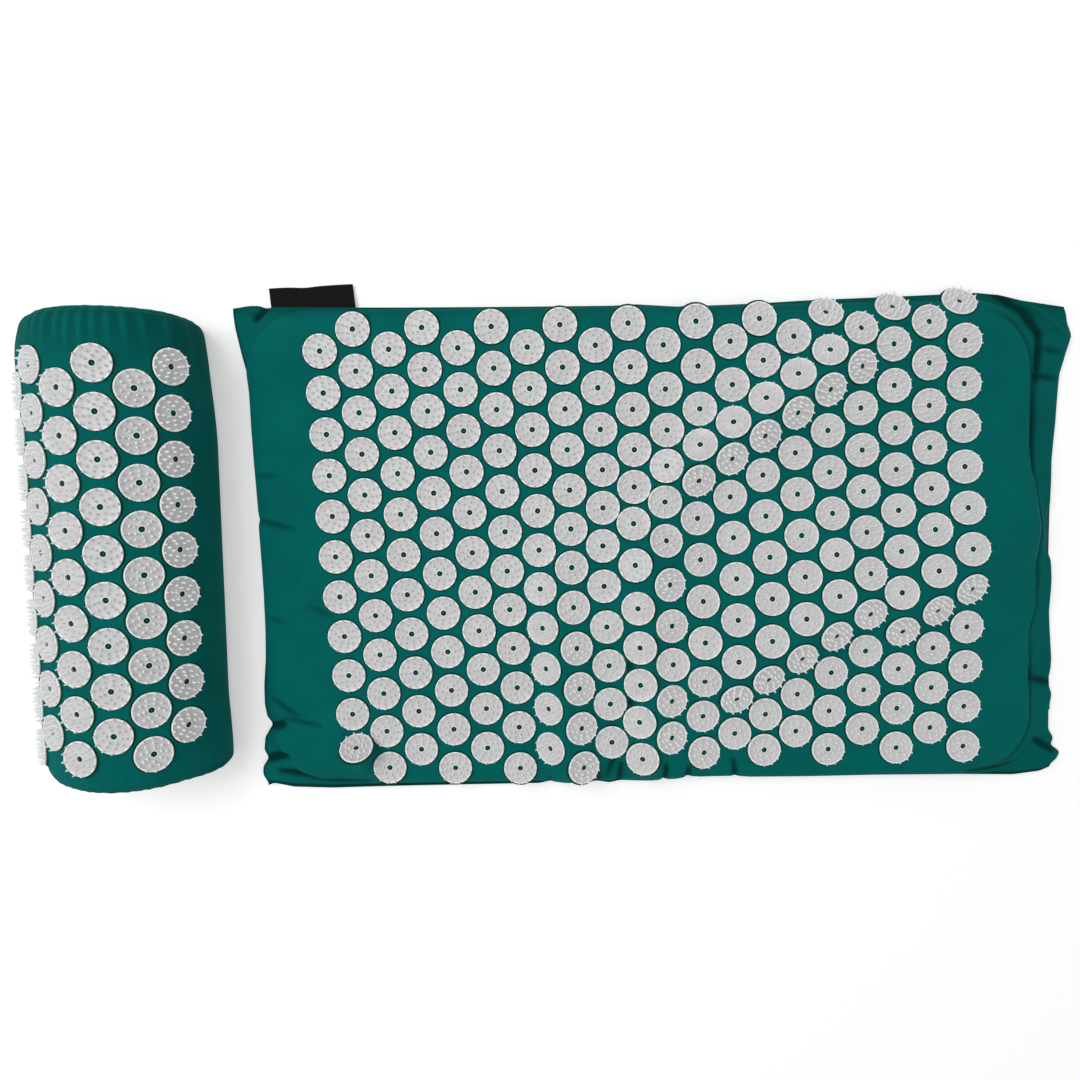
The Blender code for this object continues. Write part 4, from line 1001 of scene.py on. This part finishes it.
def add_pillow_base(material):
    """The flat panel under the pillow, turned up along its left side to meet the zip."""
    columns, rows = BASE_STEPS
    half = PILLOW_RADIUS * math.sin(angle_at_height(CLOTH + GAP)) - 0.0046
    left = PILLOW_RADIUS * math.sin(angle_at_height(BASE_TURN_HEIGHT))
    turn = np.arange(1, BASE_TURN_STEPS + 1) / BASE_TURN_STEPS * math.pi / 2
    across = np.concatenate([
        np.linspace(half, -half, columns - BASE_TURN_STEPS), -half - (left - half) * np.sin(turn)
    ])
    height = np.zeros(columns)
    height[-BASE_TURN_STEPS:] = BASE_TURN_HEIGHT * (1.0 - np.cos(turn))
    x, y = grid(across, np.linspace(-0.5, 0.5, rows) * PILLOW_LENGTH)
    left_share = pillow_section_radius(np.zeros_like(x), y) / PILLOW_RADIUS
    right_angle = np.full_like(x, angle_at_height(CLOTH + GAP))
    right_share = pillow_section_radius(right_angle, y) / PILLOW_RADIUS
    x = x * np.where(x > 0.0, right_share, left_share)
    points = np.stack([x, y, np.tile(height, rows)], axis=1)
    faces = grid_faces(columns, rows)
    obj = make_object("pillow_base", pillow_to_world(points), faces, material, uv=points[:, :2])
    thicken(obj, CLOTH)
    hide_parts("pillow_cover_base")
    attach(obj, "pillow")


def add_pillow_discs(discs, material, rng):
    ahead = turned((0.0, 1.0, 0.0))
    every = []
    for c in range(PILLOW_COLUMNS):
        places = [
            (pillow_to_world(centre), turned(normal), ahead)
            for column, centre, normal in discs
            if column == c
        ]
        name, node = f"pillow_disc_column_{c + 1}", f"pillow_discs_{c + 1}"
        add_discs(name, node, "pillow", places, material, rng)
        every += places
    return every


# The label


def add_label(material):
    """A woven label folded double, sewn under the top seam near the left corner."""
    s, t = even_grid(LABEL_STEPS, low=0.0)
    root, fold = (
        np.array(line[0]) + s[:, None] * (np.array(line[1]) - line[0])
        for line in (LABEL_ROOT, LABEL_FOLD)
    )
    x, y = ((root + t[:, None] * (fold - root)) * MM).T
    y = y - 0.8 * bell(s, 0.13, 0.42) * t * MM
    z = 4.1 * MM - 2.0 * MM * smooth(t) + 0.5 * MM * np.sin(s * 9.0) * t
    points = np.stack([*skewed(x, y), z], axis=1)
    uv = np.stack([s * LABEL_SIZE[0], t * LABEL_SIZE[1]], axis=1)
    obj = make_object("mat_label_woven", points, grid_faces(*LABEL_STEPS), material, uv=uv)
    solid = obj.modifiers.new("two_layers", "SOLIDIFY")
    solid.thickness = LABEL_THICKNESS
    solid.offset = 0.0
    edge = obj.modifiers.new("soft_fold", "BEVEL")
    edge.width = LABEL_EDGE
    edge.segments = 2
    edge.limit_method = "ANGLE"
    edge.angle_limit = math.radians(50)
    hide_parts("mat_label")
    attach(obj, "mat")


# Materials


class Nodes:
    """A node tree: adds nodes, sets their sockets and links them."""

    def __init__(self, tree):
        self.tree = tree
        self.place = None

    def set(self, node, socket, value):
        """Links an input or gives it a value. A colour comes without its alpha."""
        target = node.inputs[socket]
        if isinstance(value, bpy.types.NodeSocket):
            self.tree.links.new(value, target)
        else:
            target.default_value = (*value, 1.0) if target.type == "RGBA" else value

    def add(self, kind, output=0, settings=None, **sockets):
        """Adds a node of this kind and returns one of its outputs. i0 stands for its first input."""
        node = self.tree.nodes.new("ShaderNode" + kind)
        for key, value in (settings or {}).items():
            setattr(node, key, value)
        for socket, value in sockets.items():
            self.set(node, int(socket[1:]) if socket[1:].isdigit() else socket, value)
        return node.outputs[output]

    def rays(self):
        return self.add("LightPath").node.outputs

    def body(self):
        """The place on the piece, in metres, for a pattern in space."""
        if self.place is None:
            self.place = self.add("TexCoord", output=3)
        return self.place

    def cloth(self):
        return self.add("UVMap", settings={"uv_map": "cloth"})

    def tone(self):
        """The colour data of make_object, as its separate levels."""
        data = self.add("VertexColor", settings={"layer_name": "tone"})
        return self.add("SeparateColor", i0=data).node.outputs

    def noise(self, scale, detail=2.0, roughness=0.5, place=None):
        place = place or self.body()
        return self.add("TexNoise", Vector=place, Scale=scale, Detail=detail, Roughness=roughness)

    def cells(self, scale):
        return self.add("TexVoronoi", Vector=self.body(), Scale=scale)

    def waves(self, direction, scale, distortion, detail=2.0, place=None):
        return self.add(
            "TexWave", output=1, settings={"bands_direction": direction},
            Vector=place or self.body(), Scale=scale, Distortion=distortion, Detail=detail,
        )

    def math(self, operation, first, second=0.5):
        return self.add("Math", settings={"operation": operation}, i0=first, i1=second)

    def scaled(self, value, share):
        return self.math("MULTIPLY", value, share)

    def mix(self, share, first, second):
        return self.add(
            "Mix", output=2, settings={"data_type": "RGBA"}, i0=share, i6=first, i7=second
        )

    def step(self, value, low, high, to_low=0.0, to_high=1.0):
        """Maps a value between two levels smoothly."""
        return self.add(
            "MapRange", settings={"interpolation_type": "SMOOTHSTEP"},
            i0=value, i1=low, i2=high, i3=to_low, i4=to_high,
        )

    def blend(self, value, low, high, first, second):
        """Goes from the first colour to the second between two levels of a value."""
        return self.mix(self.step(value, low, high), first, second)


class Shade(Nodes):
    """A material that is being built."""

    def __init__(self, name, colour, roughness, **sockets):
        self.material = bpy.data.materials.new(name)
        self.material.use_nodes = True
        super().__init__(self.material.node_tree)
        self.shader = self.tree.nodes["Principled BSDF"]
        sockets = {"base_color": colour, "roughness": roughness, **sockets}
        for socket, value in sockets.items():
            self.set(self.shader, socket.replace("_", " ").title().replace("Ior", "IOR"), value)

    def paint(self, colour, roughness, height, distance, strength):
        """Sets the colour and the roughness, and a bump from this height."""
        bump = self.add("Bump", Height=height, Distance=distance, Strength=strength)
        for socket, value in (("Base Color", colour), ("Roughness", roughness), ("Normal", bump)):
            self.set(self.shader, socket, value)
        return self.material


def cotton_material(name, base, pale, dark):
    """Plain-woven cotton: crossing threads, soft mottling, lint and a dull sheen."""
    shade = Shade(
        name, base, 0.86, sheen_weight=0.15, sheen_roughness=0.6, sheen_tint=(0.0, 0.55, 0.50),
        specular_ior_level=0.06,
    )
    cloth = shade.cloth()
    weave = shade.scaled(*(shade.waves(way, 420.0, 1.6, 1.0, cloth) for way in "XY"))
    fibre = shade.noise(900.0, 3.0, 0.7)
    colour = shade.blend(shade.noise(26.0, 5.0, 0.6), 0.35, 0.68, dark, base)
    colour = shade.mix(shade.scaled(weave, 0.30), colour, pale)
    colour = shade.mix(shade.scaled(shade.step(fibre, 0.70, 0.76), 0.35), colour, pale)
    # Painted shade from the tone data: the cover's grooves, foam edge, margin and hems, and the
    # wrap's pleats and end seams
    colour = shade.mix(shade.tone()[0], colour, (0.0, dark[1] * 0.16, dark[2] * 0.15))
    height = shade.math("ADD", shade.scaled(weave, 0.5), shade.noise(150.0, 4.0, 0.6))
    return shade.paint(colour, shade.step(fibre, 0.2, 0.8, 0.78, 0.95), height, 0.00022, 0.55)


def press_shadow_material():
    """Cotton at a disc: painted contact shadow at its rim and round its hole, and the cloth's own
    colour on the knob puffed up in its hole.
    """
    shade = Shade("cotton_press_shadow", (0.0, 0.030, 0.024), 0.90, specular_ior_level=0.05)
    fibre = shade.noise(900.0, 3.0, 0.7)
    dark = shade.blend(fibre, 0.3, 0.7, (0.0, 0.020, 0.016), (0.0, 0.040, 0.032))
    puffed = shade.blend(fibre, 0.3, 0.7, (0.004, 0.080, 0.052), (0.010, 0.130, 0.085))
    colour = shade.mix(shade.tone()[0], dark, puffed)
    return shade.paint(colour, shade.step(fibre, 0.2, 0.8, 0.82, 0.96), fibre, 0.0001, 0.5)


def disc_material():
    """Moulded plastic: satin plates with painted highlights on the lips and collars, studs paled with
    painted light, and faint wear.
    """
    shade = Shade(
        "disc_plastic", (0.60, 0.58, 0.60), 0.42, specular_ior_level=0.45, subsurface_weight=0.12,
        subsurface_radius=(0.004, 0.004, 0.004),
    )
    highlight_tone, odd = shade.tone()[:2]
    grain, cloud = shade.noise(420.0, 4.0, 0.7), shade.noise(60.0, 3.0)
    colour = shade.blend(cloud, 0.3, 0.7, (0.580, 0.562, 0.576), (0.636, 0.622, 0.632))
    colour = shade.mix(shade.scaled(odd, 0.35), colour, (0.605, 0.608, 0.598))
    dirt = shade.scaled(shade.step(grain, 0.60, 0.70), 0.25)
    colour = shade.mix(dirt, colour, (0.46, 0.44, 0.44))
    # Painted highlight on the lips and collars, and painted light on the studs, from the tone data
    colour = shade.mix(shade.scaled(highlight_tone, 0.9), colour, (0.93, 0.96, 0.955))
    return shade.paint(colour, shade.step(grain, 0.2, 0.8, 0.32, 0.52), grain, 0.00006, 0.5)


def foam_material():
    """Open-celled foam: pale cream with round pores, darkened in their hollows by painted shade."""
    shade = Shade("foam_open_cell", (0.72, 0.70, 0.58), 0.95)
    cells = shade.cells(900.0)
    # Painted shade: darker in the pores' hollows
    colour = shade.blend(cells, 0.1, 0.6, (0.42, 0.40, 0.31), (0.76, 0.74, 0.62))
    colour = shade.mix(shade.scaled(shade.noise(40.0, 3.0), 0.25), colour, (0.66, 0.60, 0.44))
    return shade.paint(colour, shade.step(cells, 0.1, 0.6, 0.99, 0.88), cells, 0.0006, 0.8)


def label_material():
    """Black satin ribbon: fine ribs along its length and a woven edge."""
    shade = Shade("label_satin", (0.002, 0.002, 0.0022), 0.60, specular_ior_level=0.10)
    cloth = shade.cloth()
    ribs = shade.waves("Y", 900.0, 0.6, 1.0, cloth)
    fibre = shade.noise(1500.0, place=cloth)
    fold = shade.step(shade.add("SeparateXYZ", output=1, i0=cloth), 0.0186, 0.0194)
    colour = shade.mix(shade.scaled(ribs, 0.5), (0.0012, 0.0012, 0.0014), (0.005, 0.005, 0.0055))
    colour = shade.mix(shade.scaled(fold, 0.6), colour, (0.012, 0.012, 0.013))
    return shade.paint(colour, shade.step(fibre, 0.2, 0.8, 0.42, 0.62), ribs, 0.0001, 0.5)


def tape_material(name, base, pale, scale, distance):
    """Hook or loop tape: a dense pile of tiny tufts over a woven ground."""
    shade = Shade(name, base, 0.85, sheen_weight=0.08, sheen_roughness=0.4)
    tufts, fuzz = shade.cells(scale), shade.noise(scale * 1.7, 3.0)
    colour = shade.blend(tufts, 0.15, 0.65, pale, base)
    colour = shade.mix(shade.scaled(fuzz, 0.3), colour, pale)
    return shade.paint(colour, shade.step(fuzz, 0.3, 0.7, 0.75, 0.95), tufts, distance, 0.9)


def zip_cloth_material():
    """Zip tape: a herringbone weave."""
    shade = Shade("zip_tape_weave", (0.004, 0.090, 0.078), 0.80, sheen_weight=0.2)
    slant, fuzz = shade.waves("DIAGONAL", 700.0, 0.4), shade.noise(900.0, 3.0)
    colour = shade.mix(slant, (0.003, 0.072, 0.062), (0.008, 0.115, 0.100))
    return shade.paint(colour, shade.step(fuzz, 0.3, 0.7, 0.70, 0.90), slant, 0.0001, 0.7)


def coil_material():
    shade = Shade("zip_coil_nylon", (0.006, 0.075, 0.065), 0.38)
    grain = shade.noise(800.0, 3.0)
    colour = shade.blend(grain, 0.3, 0.7, (0.004, 0.060, 0.052), (0.012, 0.100, 0.088))
    return shade.paint(colour, shade.step(grain, 0.2, 0.8, 0.28, 0.48), grain, 0.00003, 0.5)


def metal_material():
    """Plated zinc: bright, finely brushed, duller and darker where it has worn."""
    shade = Shade("zip_metal_plated", (0.56, 0.56, 0.57), 0.30, metallic=1.0)
    brush, wear = shade.noise(1400.0, 3.0, 0.7), shade.noise(260.0, 4.0, 0.6)
    colour = shade.blend(wear, 0.52, 0.66, (0.58, 0.58, 0.59), (0.38, 0.36, 0.33))
    rough = shade.math("ADD", shade.step(wear, 0.45, 0.7, 0.18, 0.40), shade.scaled(brush, 0.12))
    return shade.paint(colour, rough, brush, 0.00002, 0.5)


# Studio


def add_floor():
    """Pale paper that glows a little where the camera sees it, so that it reads as white."""
    shade = Shade(
        "floor_paper", (0.80, 0.80, 0.80), 0.9, specular_ior_level=0.1,
        emission_color=(1.0, 1.0, 1.0),
    )
    rays = shade.rays()
    seen = shade.math("MAXIMUM", rays["Is Camera Ray"], rays["Is Glossy Ray"])
    seen = shade.math("MAXIMUM", seen, rays["Is Transmission Ray"])
    shade.set(shade.shader, "Emission Strength", shade.scaled(seen, FLOOR_GLOW))
    corners = np.array([(-1, -1, 0), (1, -1, 0), (1, 1, 0), (-1, 1, 0)]) * FLOOR_REACH
    floor = make_object("floor", corners, [(0, 1, 2, 3)], shade.material)
    floor.location.z = -0.0004


def add_world():
    """White to the camera, and softer as light on the object."""
    world = bpy.data.worlds.new("studio")
    bpy.context.scene.world = world
    world.use_nodes = True
    nodes = Nodes(world.node_tree)
    rays = nodes.rays()
    seen = nodes.math("MAXIMUM", rays["Is Camera Ray"], rays["Is Transmission Ray"])
    back = nodes.tree.nodes["Background"]
    nodes.set(back, "Strength", nodes.add("MapRange", i0=seen, i3=WORLD_LEVEL, i4=1.0))
    nodes.set(back, "Color", (1.0, 1.0, 1.0))


def add_lights():
    for name, place, size, power in SOFTBOXES:
        light = bpy.data.lights.new(name, "AREA")
        light.shape = "RECTANGLE"
        light.size, light.size_y = size
        light.energy = power
        lamp = bpy.data.objects.new(name, light)
        lamp.location = place
        lamp.rotation_euler = (-Vector(place)).to_track_quat("-Z", "Y").to_euler()
        bpy.context.scene.collection.objects.link(lamp)


def add_camera():
    camera = bpy.data.cameras.new("photo_camera")
    camera.lens = CAMERA_LENS
    camera.sensor_width = 36.0
    camera.clip_start = 0.01
    obj = bpy.data.objects.new("photo_camera", camera)
    obj.location = CAMERA_PLACE
    obj.rotation_euler = [math.radians(angle) for angle in CAMERA_ANGLES]
    bpy.context.scene.collection.objects.link(obj)
    bpy.context.scene.camera = obj


def main():
    bpy.context.scene.view_settings.view_transform = "Standard"
    add_camera()
    add_floor()
    add_world()
    add_lights()
    rng = np.random.default_rng(7)
    cotton = cotton_material("cotton_weave", COTTON_BASE, COTTON_PALE, COTTON_DARK)
    disc = disc_material()
    foam = foam_material()
    discs = mat_discs()
    add_cover_upper(discs, cotton)
    add_cover_lower(cotton)
    add_mat_foam(discs, foam)
    pressed = press_shadow_material()
    add_press_marks("mat_press_marks_and_shadow", "mat", add_mat_discs(discs, disc, rng), pressed)
    add_label(label_material())
    round_discs = pillow_discs()
    add_pillow_wrap(round_discs, cotton)
    add_pillow_foam(foam)
    add_pillow_ends(cotton)
    add_pillow_base(cotton)
    places = add_pillow_discs(round_discs, disc, rng)
    add_press_marks("pillow_press_marks_and_shadow", "pillow", places, pressed)

    zip_cloth, metal = zip_cloth_material(), metal_material()
    kept = {
        "mat_loop_tape": tape_material(
            "loop_pile", (0.010, 0.060, 0.052), (0.03, 0.12, 0.105), 1100.0, 0.0004
        ),
        "mat_hook_tape": tape_material(
            "hook_field", (0.008, 0.050, 0.044), (0.03, 0.10, 0.09), 800.0, 0.0005
        ),
        "pillow_zip_tape_upper": zip_cloth,
        "pillow_zip_tape_lower": zip_cloth,
        "pillow_zip_teeth": coil_material(),
        "pillow_zip_slider": metal,
        "pillow_zip_stop_far": metal,
        "pillow_zip_stop_near": metal,
        "pillow_zip_pull": metal,
    }
    for name, material in kept.items():
        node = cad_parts[name]
        node.data.materials.clear()
        node.data.materials.append(material)


main()
